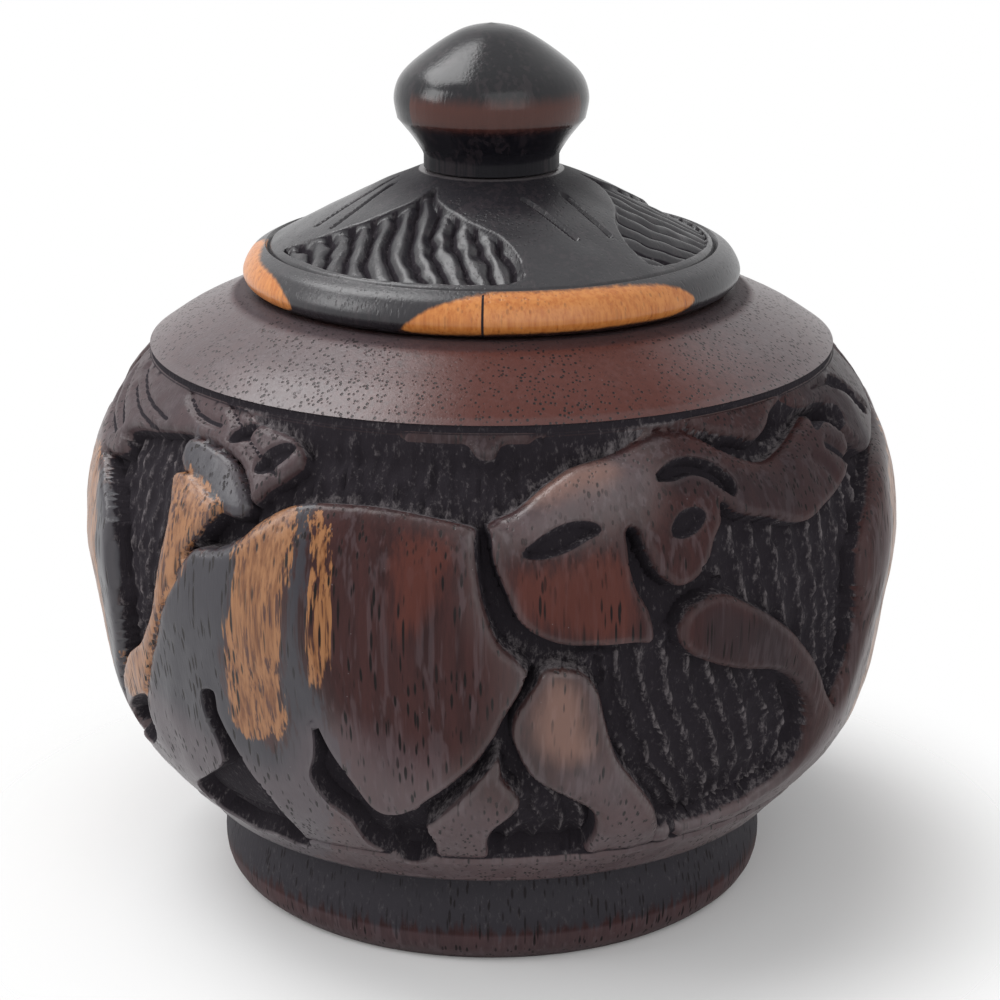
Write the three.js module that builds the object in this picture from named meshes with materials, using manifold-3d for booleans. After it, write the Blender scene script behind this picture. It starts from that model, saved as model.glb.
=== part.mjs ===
// Lidded wooden bowl: a turned bowl with a carved band, a turned lid and a turned knob.
// Millimetres, +Z up. The origin is the centre of the foot's flat underside.
// The front of the carving faces -Y. Angles round the bowl are in degrees from the front,
// counted towards +X.

import * as THREE from 'three';
import { mergeVertices } from 'three/addons/utils/BufferGeometryUtils.js';
import { TessellateModifier } from 'three/addons/modifiers/TessellateModifier.js';
import Module from 'manifold-3d';

const wasm = await Module();
wasm.setup();

// Bowl: driving sizes
const FOOT_RADIUS = 36.9;
const FOOT_HEIGHT = 13.4;
const FOOT_EDGE_ROUND = 2.4;
const FOOT_COVE_DEPTH = 1.5;
const BODY_RADIUS = 54.4;
const BODY_BASE_RADIUS = 40.2;
const BELLY_HEIGHT = 50;
const BASE_LINE_HEIGHT = 18;
const SHOULDER_HEIGHT = 73.2;
const SHOULDER_RADIUS = 45.3;
const SHOULDER_RISE = 7.6;
const SEAT_RADIUS = 32.2;
const MOUTH_RADIUS = 26.4;
const MOUTH_DEPTH = 6.5;
const WALL = 5;
const FLOOR = 14.5;
const BORDER_GROOVE = 0.7;

// Carved band: driving sizes
const RELIEF_DEPTH = 3.2;
const BROAD_EDGE = 1.1;
const NARROW_EDGE = 0.4;
const SCENES_ROUND_THE_BOWL = 2;
const BAND_EDGE_SLOPE = 1.2;
const BORDER_LEDGE = 0.4;

// Lid and knob: driving sizes
const LID_RADIUS = 32.5;
const LID_UNDERSIDE_RADIUS = 30.8;
const LID_BEAD_HEIGHT = 5.4;
const LID_RING_RADIUS = 28.8;
const LID_RING_DEPTH = 0.6;
const LID_DOME_HEIGHT = 15;
const LID_BOSS_RADIUS = 9.3;
const SPIGOT_LENGTH = 5.2;
const SPIGOT_WALL = 4.2;
const LID_TOP_THICKNESS = 9;
const LEAF_DEPTH = 0.5;
const RIB_PITCH = 2.9;
const RIB_GROOVE_WIDTH = 1.4;
const RIB_GROOVE_DEPTH = 1.4;
const RIB_WAVE = 0.5;
const LANE_CUT_WIDTH = 0.9;
const LANE_CUT_DEPTH = 0.5;
const NECK_RADIUS = 8.8;
const NECK_HEIGHT = 1.6;
const KNOB_RADIUS = 12.6;
const KNOB_EDGE_RADIUS = 11.7;
const KNOB_EDGE_HEIGHT = 5.8;
const KNOB_BAND_HEIGHT = 3.4;
const KNOB_HEIGHT = 18.4;
const TENON_RADIUS = 4.2;
const TENON_LENGTH = 5.6;

// Named clearances
const SEAT_GAP = 0.3;
const SPIGOT_CLEARANCE = 0.4;
const GLUE_GAP = 0.3;

// Facets
const TURNED_SEGMENTS = 40;
const KNOB_SEGMENTS = 32;
const LID_CUT_SEGMENTS = 16;
const OUTLINE_STEP = 6;
const WRAP_EDGE = 14;
const WRAP_ROUNDS = 24;
const RIB_STEPS = 3;

const radians = THREE.MathUtils.degToRad;

// Solids

function sharedVertices(geometry) {
  const bare = geometry.clone();
  bare.deleteAttribute('normal');
  bare.deleteAttribute('uv');
  return mergeVertices(bare, 1e-4);
}

// Makes a solid for joining and cutting out of a closed three.js geometry.
function solidOf(geometry) {
  const merged = sharedVertices(geometry);
  return new wasm.Manifold(
    new wasm.Mesh({
      numProp: 3,
      vertProperties: new Float32Array(merged.attributes.position.array),
      triVerts: new Uint32Array(merged.index.array),
    }),
  );
}

function geometryOf(solid) {
  const { vertProperties, triVerts } = solid.getMesh();
  const geometry = new THREE.BufferGeometry();
  geometry.setAttribute('position', new THREE.BufferAttribute(vertProperties, 3));
  geometry.setIndex(new THREE.BufferAttribute(triVerts, 1));
  geometry.computeVertexNormals();
  return geometry;
}

// Turns a profile of [radius, height] points about +Z. It starts and ends on the axis or closes on itself.
function turned(profile, segments = TURNED_SEGMENTS) {
  const points = profile.map(([radius, height]) => new THREE.Vector2(radius, height));
  const lathe = new THREE.LatheGeometry(points, segments);
  lathe.rotateX(Math.PI / 2);
  return solidOf(lathe);
}

function through(points, count) {
  const curve = new THREE.SplineCurve(points.map(([x, y]) => new THREE.Vector2(x, y)));
  return curve.getSpacedPoints(count).map((point) => [point.x, point.y]);
}

const SEAT_HEIGHT = SHOULDER_HEIGHT + SHOULDER_RISE;

// The bowl's turned outline above the foot, before it is carved
const bandCurve = through(
  [
    [BODY_BASE_RADIUS, FOOT_HEIGHT],
    [BODY_RADIUS - 6.2, FOOT_HEIGHT + 8.8],
    [BODY_RADIUS - 3, FOOT_HEIGHT + 16],
    [BODY_RADIUS - 1.2, BELLY_HEIGHT - 10],
    [BODY_RADIUS, BELLY_HEIGHT],
    [BODY_RADIUS - 1.4, BELLY_HEIGHT + 10],
    [SHOULDER_RADIUS + 4, SHOULDER_HEIGHT - 5],
    [SHOULDER_RADIUS, SHOULDER_HEIGHT],
  ],
  10,
);

// Radius of the uncarved outline at a height on the band.
function bandRadius(height) {
  const last = bandCurve.length - 1;
  if (height >= bandCurve[last][1]) {
    return bandCurve[last][0];
  }
  const upper = Math.max(1, bandCurve.findIndex(([, level]) => level > height));
  const [lowRadius, lowHeight] = bandCurve[upper - 1];
  const [highRadius, highHeight] = bandCurve[upper];
  return THREE.MathUtils.mapLinear(height, lowHeight, highHeight, lowRadius, highRadius);
}

// The band's drawing is laid out flat: x in degrees round the bowl, y in mm above the base line.
const DRAWING_HEIGHT = 55;

function wrapPoint(point, turn) {
  const height = THREE.MathUtils.mapLinear(point.y, 0, DRAWING_HEIGHT, BASE_LINE_HEIGHT, SHOULDER_HEIGHT);
  const radius = bandRadius(height) + point.z;
  const angle = radians(point.x + turn);
  return point.set(radius * Math.sin(angle), -radius * Math.cos(angle), height);
}

// A smooth closed outline through hand-picked points.
function smoothOutline(points) {
  const corners = points.map(([x, y]) => new THREE.Vector3(x, y, 0));
  const curve = new THREE.CatmullRomCurve3(corners, true, 'centripetal');
  const count = Math.max(points.length, Math.round(curve.getLength() / OUTLINE_STEP));
  const spaced = curve.getSpacedPoints(count).slice(0, count);
  return new THREE.Shape(spaced.map((point) => new THREE.Vector2(point.x, point.y)));
}

function wrapped(geometry, turn) {
  const fine = sharedVertices(new TessellateModifier(WRAP_EDGE, WRAP_ROUNDS).modify(geometry));
  const position = fine.attributes.position;
  const point = new THREE.Vector3();
  for (let index = 0; index < position.count; index += 1) {
    wrapPoint(point.fromBufferAttribute(position, index), turn);
    position.setXYZ(index, point.x, point.y, point.z);
  }
  return solidOf(fine);
}

// A figure left standing on the sunk ground, with eased edges. top is its level below the turned outline.
function figure(points, top, edge, turn) {
  const root = -RELIEF_DEPTH - 1;
  const block = new THREE.ExtrudeGeometry(smoothOutline(points), {
    depth: -top - edge - root,
    steps: 1,
    bevelEnabled: true,
    bevelThickness: edge,
    bevelSize: edge,
    bevelOffset: -edge,
    bevelSegments: 1,
  });
  block.translate(0, 0, root);
  return wrapped(block, turn);
}

// A hollow cut straight in to a level below the turned outline.
function hollow(points, depth, turn) {
  const above = 2;
  const block = new THREE.ExtrudeGeometry(smoothOutline(points), {
    depth: depth + above,
    steps: 1,
    bevelEnabled: false,
  });
  block.translate(0, 0, -depth);
  return wrapped(block, turn);
}

// Drawing of one scene: an elephant walking to the right between two trees

const TORSO = [
  [-44.5, 37.5], [-39, 40], [-34, 43], [-29, 46], [-23, 47.5], [-17.5, 47.5], [-11.5, 46.5], [-7, 45.7],
  [-2.2, 45], [-1.6, 39], [0, 35], [2, 31.2], [4.3, 29], [2.5, 25], [0.8, 20.5], [-2, 17], [-6, 13],
  [-10, 9.5], [-14.5, 8], [-17, 3], [-20, -1], [-40, -1], [-68, -1], [-67, 5], [-60, 10], [-57.5, 16],
  [-53.5, 22.5], [-50, 28], [-47.5, 33],
];

const HEAD_AND_TRUNK = [
  [-0.3, 46], [3.5, 47.6], [7.6, 50], [11.4, 51.9], [19, 53.2], [25.8, 54.6], [29.6, 54.4], [35.2, 52.3],
  [40.5, 50], [43.6, 49.5], [47.7, 50.3], [53.3, 51.9], [57.3, 52.7], [60.9, 51.6], [62.8, 48.7], [59.4, 45.1],
  [51.3, 42.6], [47, 41.6], [43.8, 42.1], [36.9, 44.2], [33, 45.8], [31.6, 43.6], [29.1, 40], [26.9, 38.1],
  [23.6, 37.4], [21, 34.4], [20.4, 31.3], [13.8, 31.4], [10, 31.7], [6.9, 32.6], [3.9, 34.6], [2.1, 38.2],
  [0.5, 42],
];

const FORELEG = [
  [7, 28], [5.4, 25], [3.7, 22.7], [3.1, 19.8], [3.8, 16.9], [6, 13.2], [11, 10.1], [14.2, 8], [15.4, 4],
  [15.6, -1], [26.8, -1], [24.5, 6.5], [20.2, 11.6], [17.3, 15.9], [15.2, 20.3], [14.2, 23.7], [12, 28],
];

const FAR_FORELEG = [
  [0.8, 16.5], [3.6, 10], [1.2, 6.5], [-1, -1], [-8.5, -1], [-9.2, 5.5], [-5.2, 10], [-1.1, 13.5],
];

const TAIL = [
  [-50.2, 47.5], [-47.2, 47.3], [-43, 46.4], [-39.8, 44.6], [-42, 41.5], [-44, 38.6], [-45.4, 35.5],
  [-48, 31.5], [-50.5, 26.5], [-54, 21.5], [-58, 15.5], [-59, 12], [-70, 9], [-71, 14], [-66, 17.5],
  [-58.5, 22], [-52.2, 27.5], [-49.6, 33], [-49.1, 38], [-48.6, 42], [-49.8, 45.2],
];

const LIMB = [
  [25.1, 32.5], [26.4, 34.2], [29.1, 35.4], [35.1, 33.6], [43.3, 28.3], [50.9, 21.7], [54.5, 17.3],
  [58.6, 13.7], [68, 9], [68, -1], [29, -1], [29, 1.5], [39.1, 2.3], [44, 2.9], [47.9, 4.4], [51.2, 6],
  [52.6, 8.5], [52.5, 11.8], [51.2, 15.3], [48.2, 18.9], [44.8, 21.6], [35.6, 24.7], [30.7, 26.4],
  [26.6, 28.6],
];

const RIGHT_TREE = [
  [73, 54.5], [70, 44], [66.5, 40.8], [62, 34.5], [61.2, 29.5], [62.7, 23], [61.5, 17], [57.5, 13.5],
  [57, 7], [60, -1], [86, -1], [86, 10], [86.5, 24], [86.5, 36], [86, 46], [86, 54.5],
];

const LEFT_TREE = [
  [-86, 54.5], [-72, 54.5], [-70.5, 46], [-66.5, 39], [-65.6, 29], [-67, 20], [-70.5, 13], [-70, -1],
  [-86, -1], [-86, 12], [-86.5, 28], [-86, 42],
];

const LEFT_FOLIAGE = [
  [-86, 54.6], [-86, 44], [-78, 43.9], [-69.4, 46.8], [-57.7, 50.7], [-50.5, 51.6], [-44.6, 51.5],
  [-38.5, 50], [-34.3, 46.4], [-31, 48.6], [-27.9, 51.2], [-29.5, 53.1], [-37.4, 54.2], [-46, 54.7],
];

const TAIL_ROOT = [
  [-50.9, 50.1], [-48.5, 51], [-44.5, 50.9], [-39.3, 49.6], [-35.3, 45.5], [-38.7, 44.3], [-43.5, 46],
  [-49.3, 47.8],
];

const RIGHT_FOLIAGE = [
  [53, 54.6], [58.4, 53.5], [64.7, 52.3], [64.3, 50], [66.6, 47.1], [76.1, 46.4], [86.2, 49], [86.2, 54.6],
];

const FLAP = [
  [26.5, 53.8], [34.7, 53.1], [42, 52.1], [48.1, 53.6], [50.5, 54.7], [38, 54.8], [26.5, 54.8],
];

const HAUNCH_GROOVE = [
  [-25.4, 26.6], [-23.8, 21.2], [-21.5, 16.4], [-18.7, 12.4], [-15.6, 8.6], [-11.5, 7], [-9, 3.2],
  [-9, -0.8], [-16, -0.8], [-19.5, 5.5], [-23.6, 8.8], [-25.4, 12.3], [-24.5, 17], [-24.9, 21.7],
];

const HIND_LEG_GROOVE = [
  [-43.4, 21.2], [-40.4, 21.2], [-38.4, 16], [-35.4, 11.5], [-33.3, 7.3], [-31.8, -1], [-36.5, -0.2],
  [-43.4, 1.2], [-54, 4], [-46.5, 8.6], [-41.8, 11.2], [-43.2, 15],
];

const WEDGE = [
  [18.4, 45], [19.8, 44], [20.8, 41.5], [22.2, 39.4], [24, 38], [26.2, 38.3], [25.5, 35.5], [20.8, 32],
  [20.2, 36.7], [18.4, 40.6],
];

const EAR_SLIT = [[3.5, 42.4], [7.5, 45.3], [11.4, 46.2], [14.8, 45.2], [11.4, 43.6], [6.5, 42]];
const EYE = [[24.8, 44.6], [26.5, 46], [28.6, 45.3], [28.6, 43.8], [26.6, 43], [25, 43.3]];
const BROW = [
  [22.5, 49.8], [24.8, 51], [28.1, 51.7], [32.2, 51.2], [34.7, 49.2], [35.2, 47.2], [33.4, 47.8],
  [30.8, 48.9], [26.9, 49.4],
];
const RUMP_HOLLOW = [[-42.9, 39], [-41.6, 41.5], [-38.5, 43.8], [-34.2, 44.6], [-35.8, 42], [-39, 40.4]];
const TAIL_NOTCH = [[-66, 10.2], [-61, 15.4], [-58.4, 15.8], [-58, 10.5], [-62, 6]];

// [outline, level below the turned outline, eased edge]
const FIGURES = [
  [TORSO, 0.2, BROAD_EDGE],
  [HEAD_AND_TRUNK, 0.1, BROAD_EDGE],
  [FORELEG, 0.4, BROAD_EDGE],
  [FAR_FORELEG, 0.9, BROAD_EDGE],
  [TAIL, 0.5, NARROW_EDGE],
  [LIMB, 0.5, NARROW_EDGE],
  [RIGHT_TREE, 0.2, BROAD_EDGE],
  [LEFT_TREE, 0.2, BROAD_EDGE],
  [LEFT_FOLIAGE, 0.7, NARROW_EDGE],
  [TAIL_ROOT, 1, NARROW_EDGE],
  [RIGHT_FOLIAGE, 0.6, NARROW_EDGE],
  [FLAP, 0.3, NARROW_EDGE],
];

// [outline, depth below the turned outline]
const HOLLOWS = [
  [HAUNCH_GROOVE, 2.6],
  [HIND_LEG_GROOVE, 2.6],
  [WEDGE, 2.4],
  [EAR_SLIT, 1.4],
  [EYE, 1.2],
  [BROW, 1.5],
  [RUMP_HOLLOW, 2.6],
  [TAIL_NOTCH, 2.6],
];

// Bowl

const footProfile = [
  [0, 0],
  [FOOT_RADIUS - FOOT_EDGE_ROUND, 0],
  [FOOT_RADIUS - FOOT_EDGE_ROUND * 0.3, FOOT_EDGE_ROUND * 0.6],
  [FOOT_RADIUS, FOOT_EDGE_ROUND * 1.4],
  [FOOT_RADIUS, FOOT_HEIGHT * 0.45],
  [FOOT_RADIUS - FOOT_COVE_DEPTH * 0.6, FOOT_HEIGHT * 0.75],
  [FOOT_RADIUS - FOOT_COVE_DEPTH, FOOT_HEIGHT - 0.6],
];

const seatSlope = (SEAT_HEIGHT - SHOULDER_HEIGHT) / (SHOULDER_RADIUS - SEAT_RADIUS);
const shoulderProfile = [
  [SHOULDER_RADIUS - BORDER_GROOVE, SHOULDER_HEIGHT],
  [SHOULDER_RADIUS - BORDER_GROOVE, SHOULDER_HEIGHT + BORDER_GROOVE],
  ...through(
    [
      [SHOULDER_RADIUS - BORDER_GROOVE * 0.6, SHOULDER_HEIGHT + BORDER_GROOVE * 1.2],
      [SHOULDER_RADIUS - 4.2, SHOULDER_HEIGHT + 4.2 * seatSlope + 0.9],
      [SHOULDER_RADIUS - 8.5, SHOULDER_HEIGHT + 8.5 * seatSlope + 0.5],
      [SEAT_RADIUS, SEAT_HEIGHT],
    ],
    4,
  ),
];

const groundRadius = BODY_RADIUS - RELIEF_DEPTH;
const hollowRadius = groundRadius - WALL;
const mouthFoot = SEAT_HEIGHT - MOUTH_DEPTH;
const insideProfile = [
  [MOUTH_RADIUS, SEAT_HEIGHT],
  [MOUTH_RADIUS, mouthFoot],
  ...through(
    [
      [MOUTH_RADIUS + 1.5, mouthFoot - 0.8],
      [SHOULDER_RADIUS - RELIEF_DEPTH - WALL - 1.5, SHOULDER_HEIGHT - WALL - 3],
      [hollowRadius, BELLY_HEIGHT],
      [hollowRadius - 3, FOOT_HEIGHT + 16],
      [BODY_BASE_RADIUS - WALL * 2.4, FLOOR + 3],
      [BODY_BASE_RADIUS - WALL * 3.6, FLOOR],
    ],
    6,
  ),
  [0, FLOOR],
];

// The turned body as it stands once the ground of the band has been cut away.
const groundLow = BASE_LINE_HEIGHT;
const groundHigh = SHOULDER_HEIGHT - BORDER_LEDGE;
const groundProfile = bandCurve
  .filter(([, height]) => height > groundLow + BAND_EDGE_SLOPE && height < groundHigh - BAND_EDGE_SLOPE)
  .map(([radius, height]) => [radius - RELIEF_DEPTH, height]);
const turnedBody = turned([
  ...footProfile,
  [BODY_BASE_RADIUS, FOOT_HEIGHT],
  [bandRadius(groundLow), groundLow],
  ...groundProfile,
  [bandRadius(groundHigh - BAND_EDGE_SLOPE) - RELIEF_DEPTH, groundHigh - BAND_EDGE_SLOPE],
  [bandRadius(groundHigh), groundHigh],
  [SHOULDER_RADIUS, SHOULDER_HEIGHT],
  ...shoulderProfile,
  ...insideProfile,
]);

const sceneTurns = Array.from(
  { length: SCENES_ROUND_THE_BOWL },
  (unused, index) => (360 / SCENES_ROUND_THE_BOWL) * index,
);

function carvedBowl() {
  let standing = null;
  let cut = null;
  for (const turn of sceneTurns) {
    for (const [outline, top, edge] of FIGURES) {
      const block = figure(outline, top, edge, turn);
      standing = standing ? standing.add(block) : block;
    }
    for (const [outline, depth] of HOLLOWS) {
      const block = hollow(outline, depth, turn);
      cut = cut ? cut.add(block) : block;
    }
  }
  return turnedBody.add(standing).subtract(cut);
}

// Lid

const lidFoot = SEAT_HEIGHT + SEAT_GAP;
const beadTop = lidFoot + LID_BEAD_HEIGHT;
const lidTop = lidFoot + LID_DOME_HEIGHT;
const spigotRadius = MOUTH_RADIUS - SPIGOT_CLEARANCE;
const spigotInside = spigotRadius - SPIGOT_WALL;
const socketRadius = TENON_RADIUS + GLUE_GAP;
const socketFloor = lidTop - TENON_LENGTH - GLUE_GAP;
const lidHollowTop = lidTop - LID_TOP_THICKNESS;

const domeCurve = through(
  [
    [LID_RING_RADIUS, beadTop + 0.1],
    [LID_RING_RADIUS * 0.78, beadTop + (lidTop - beadTop) * 0.36],
    [LID_RING_RADIUS * 0.5, beadTop + (lidTop - beadTop) * 0.78],
    [LID_BOSS_RADIUS, lidTop],
  ],
  5,
);

const beadProfile = through(
  [
    [LID_UNDERSIDE_RADIUS, lidFoot],
    [LID_RADIUS - 0.4, lidFoot + LID_BEAD_HEIGHT * 0.16],
    [LID_RADIUS, lidFoot + LID_BEAD_HEIGHT * 0.42],
    [LID_RADIUS - 1.1, lidFoot + LID_BEAD_HEIGHT * 0.8],
    [LID_RING_RADIUS + 0.8, beadTop],
  ],
  6,
);

function carvedLid() {
  const body = turned([
    [0, lidHollowTop],
    [spigotInside - 2, lidHollowTop],
    [spigotInside, lidHollowTop - 2],
    [spigotInside, lidFoot - SPIGOT_LENGTH],
    [spigotRadius - 0.6, lidFoot - SPIGOT_LENGTH],
    [spigotRadius, lidFoot - SPIGOT_LENGTH + 0.6],
    [spigotRadius, lidFoot],
    ...beadProfile,
    [LID_RING_RADIUS + 0.3, beadTop - LID_RING_DEPTH],
    ...domeCurve,
    [socketRadius, lidTop],
    [socketRadius, socketFloor],
    [0, socketFloor],
  ]);
  return body.subtract(lidCarving());
}

function lidPoint(degrees, radius) {
  const angle = radians(degrees);
  return new THREE.Vector2(radius * Math.sin(angle), -radius * Math.cos(angle));
}

// One leaf: its base follows the ring and its tip points to the knob.
// The drawing is [degrees from the leaf's middle, radius].
const LEAF_OUTLINE = [
  [-40, 27.8], [-30, 28.1], [-15, 28.2], [0, 28.3], [15, 28.2], [30, 28.1], [40, 27.3], [41, 25.6],
  [40.2, 23.1], [34.5, 19.7], [22.6, 17.4], [3.3, 14], [-6, 11.5], [-10.7, 14.8], [-21.3, 19.2],
  [-31.8, 23.4],
];

// [leaf's middle, direction its ribs run in, 1 as drawn or -1 the other way round]
const LEAVES = [[-32, 5, 1], [87, 95, -1], [207, 215, 1]];

// [start angle, start radius, end angle, end radius] of the short cuts in the lanes between the leaves
const LANE_CUTS = [
  [18, 13.5, 30, 21], [43, 13.5, 43.5, 21.5], [-90, 12.5, -76, 23], [-76, 13, -66, 22],
  [140, 13, 143, 22], [156, 13, 157, 22],
];

// The space over the dome lowered by a depth, with every other row of the dome's outline
function aboveDome(depth) {
  const reach = LID_RADIUS + 1;
  const top = lidTop + 2;
  const rows = domeCurve.toReversed().filter((row, index) => index % 2 === 0);
  const floor = rows.map(([radius, height]) => [radius, height - depth]);
  const profile = [[0, lidTop - depth], ...floor, [reach, beadTop - depth], [reach, top], [0, top]];
  return turned(profile, LID_CUT_SEGMENTS);
}

// A cut with upright walls, seen from above as this shape, down to a depth below the dome
function cutFromAbove(shape, depth) {
  const low = lidFoot + 1;
  const block = new THREE.ExtrudeGeometry(shape, { depth: lidTop + 1 - low, bevelEnabled: false });
  block.translate(0, 0, low);
  return solidOf(block).intersect(aboveDome(depth));
}

// A strip seen from above along a path, as wide as the tool at its middle and narrower at its ends
function strip(path, width, endWidth) {
  const edge = (side) => path.map((point, index) => {
    const before = path[Math.max(0, index - 1)];
    const after = path[Math.min(path.length - 1, index + 1)];
    const along = after.clone().sub(before).normalize();
    const isEnd = index === 0 || index === path.length - 1;
    const reach = (isEnd ? endWidth : width) / 2;
    return point.clone().addScaledVector(new THREE.Vector2(-along.y, along.x), side * reach);
  });
  return new THREE.Shape([...edge(-1), ...edge(1).reverse()]);
}

function leafCut([middle, ribDirection, side]) {
  const corners = LEAF_OUTLINE.map(([degrees, radius]) => lidPoint(middle + side * degrees, radius));
  const leaf = smoothOutline(corners.map(({ x, y }) => [x, y]));
  const along = lidPoint(ribDirection, 1);
  const across = new THREE.Vector2(-along.y, along.x);
  const offsets = corners.map((corner) => across.dot(corner));
  const first = Math.min(...offsets) + RIB_PITCH;
  const last = Math.max(...offsets) - RIB_PITCH / 2;
  const limit = cutFromAbove(leaf, RIB_GROOVE_DEPTH);
  let cut = cutFromAbove(leaf, LEAF_DEPTH);
  for (let offset = first; offset < last; offset += RIB_PITCH) {
    const path = [];
    for (let part = 0; part <= RIB_STEPS; part += 1) {
      const reach = (LID_RING_RADIUS * part) / RIB_STEPS;
      const sway = offset + RIB_WAVE * Math.cos(Math.PI * part);
      path.push(along.clone().multiplyScalar(reach).addScaledVector(across, sway));
    }
    const groove = strip(path, RIB_GROOVE_WIDTH, RIB_GROOVE_WIDTH);
    cut = cut.add(cutFromAbove(groove, RIB_GROOVE_DEPTH).intersect(limit));
  }
  return cut;
}

function lidCarving() {
  let cut = null;
  for (const leaf of LEAVES) {
    cut = cut ? cut.add(leafCut(leaf)) : leafCut(leaf);
  }
  for (const [startAngle, startRadius, endAngle, endRadius] of LANE_CUTS) {
    const start = lidPoint(startAngle, startRadius);
    const end = lidPoint(endAngle, endRadius);
    const path = [start, start.clone().lerp(end, 0.5), end];
    cut = cut.add(cutFromAbove(strip(path, LANE_CUT_WIDTH, LANE_CUT_WIDTH / 4), LANE_CUT_DEPTH));
  }
  return cut;
}

// Knob

const knobFoot = lidTop + GLUE_GAP;
const knobProfile = [
  [0, knobFoot - TENON_LENGTH],
  [TENON_RADIUS - 0.4, knobFoot - TENON_LENGTH],
  [TENON_RADIUS, knobFoot - TENON_LENGTH + 0.4],
  [TENON_RADIUS, knobFoot],
  [NECK_RADIUS, knobFoot],
  [NECK_RADIUS, knobFoot + NECK_HEIGHT],
  ...through(
    [
      [NECK_RADIUS + 0.2, knobFoot + NECK_HEIGHT + 0.5],
      [(NECK_RADIUS + KNOB_EDGE_RADIUS) / 2, knobFoot + (NECK_HEIGHT + KNOB_EDGE_HEIGHT) / 2 + 0.3],
      [KNOB_EDGE_RADIUS, knobFoot + KNOB_EDGE_HEIGHT],
    ],
    3,
  ),
  ...through(
    [
      [KNOB_EDGE_RADIUS + 0.5, knobFoot + KNOB_EDGE_HEIGHT + 0.6],
      [KNOB_RADIUS, knobFoot + KNOB_EDGE_HEIGHT + KNOB_BAND_HEIGHT],
      [KNOB_RADIUS * 0.91, knobFoot + KNOB_HEIGHT * 0.655],
      [KNOB_RADIUS * 0.63, knobFoot + KNOB_HEIGHT * 0.82],
      [KNOB_RADIUS * 0.3, knobFoot + KNOB_HEIGHT * 0.955],
      [0, knobFoot + KNOB_HEIGHT],
    ],
    8,
  ),
];

// Assembly

function piece(name, solid, color, roughness) {
  const material = new THREE.MeshStandardMaterial({ color, roughness, metalness: 0 });
  const mesh = new THREE.Mesh(geometryOf(solid), material);
  mesh.name = name;
  return mesh;
}

const bowl = piece('bowl', carvedBowl(), 0x4a2c24, 0.45);
const lid = piece('lid', carvedLid(), 0x17120f, 0.3);
const knob = piece('knob', turned(knobProfile, KNOB_SEGMENTS), 0x1b1512, 0.3);

const lidded = new THREE.Group();
lidded.add(lid, knob);

const whole = new THREE.Group();
whole.add(bowl, lidded);

export default whole;
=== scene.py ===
"""Looks of a lidded bowl turned in dark streaked wood, with a carved band, a carved lid and a turned knob.

The lengths in the classes are millimetres and the angles are degrees round the bowl, counted from the front
towards +X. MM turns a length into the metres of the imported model. +Z is up along the turning axis.
"""

import logging
import math
from dataclasses import dataclass, field
from enum import Enum

import bmesh
import bpy
import numpy as np
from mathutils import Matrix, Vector


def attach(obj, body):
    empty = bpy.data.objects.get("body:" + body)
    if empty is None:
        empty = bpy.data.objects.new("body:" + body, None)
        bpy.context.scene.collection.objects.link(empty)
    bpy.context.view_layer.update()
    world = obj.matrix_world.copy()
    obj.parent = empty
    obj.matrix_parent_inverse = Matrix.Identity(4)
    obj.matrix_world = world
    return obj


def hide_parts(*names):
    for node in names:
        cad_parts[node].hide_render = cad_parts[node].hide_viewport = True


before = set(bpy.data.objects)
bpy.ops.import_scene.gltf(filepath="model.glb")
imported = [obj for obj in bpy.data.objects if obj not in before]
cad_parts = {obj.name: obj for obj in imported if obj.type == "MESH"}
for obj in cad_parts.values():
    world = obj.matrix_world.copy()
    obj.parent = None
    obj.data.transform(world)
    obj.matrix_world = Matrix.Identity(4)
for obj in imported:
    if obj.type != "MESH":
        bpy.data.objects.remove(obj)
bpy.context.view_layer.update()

MM = 0.001
log = logging.getLogger("lidded_bowl")

# Millimetres round the belly for each degree of the drawing
MM_PER_DEGREE = 0.93
# How far from a line the carver measures, how much a height may be out, and a level below every cut
REACH = 3.0
SLACK = 0.01
BURIED = -99.0

Array = np.ndarray
Socket = bpy.types.NodeSocket
Piece = bpy.types.Object
Pair = tuple[float, float]
Points = tuple[Pair, ...]
Place = tuple[float, float, float]
Colour = tuple[float, float, float]


class Body(Enum):
    """The two bodies that move apart."""

    BOWL = "bowl"
    LID = "lid"


class Mark(Enum):
    """What the carving leaves on a surface, and where light and shade are painted, for its finish to read, as
    point attributes.
    """

    RAW = "raw_cut"
    # Tool marks, and on the foot painted shade under the belly.
    TOOLED_AND_SHADE = "tooled"
    WEAR = "wear"
    DUST = "dust"
    SAPWOOD = "sapwood"
    BLACK = "black_heartwood"
    RED = "red_heartwood"
    # Painted sheen and highlight: wood painted paler where it would catch light and mirror the pale floor.
    BLOOM = "painted_sheen"
    MATT = "matt"
    # Paler wood, and a painted highlight along the head's top.
    PALE_AND_HIGHLIGHT = "pale_wood_and_painted_highlight"
    # Duller, darker patches, and painted shade round the lid's seat.
    DULL_AND_SHADE = "dull"


# What a point has where nothing was marked. The other marks are distances inside a zone, FAR well outside it.
REST = {Mark.RAW: -1.0, Mark.TOOLED_AND_SHADE: 0.0, Mark.WEAR: 0.0, Mark.DUST: 0.0}
FAR = -6.0


# Lines and distances


def part_way(at: Array, low: float, high: float, first: Array, second: Array) -> Array:
    """Goes in a straight line from a first place at low to a second at high."""
    return (high - at) / (high - low) * first + (at - low) / (high - low) * second


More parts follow.
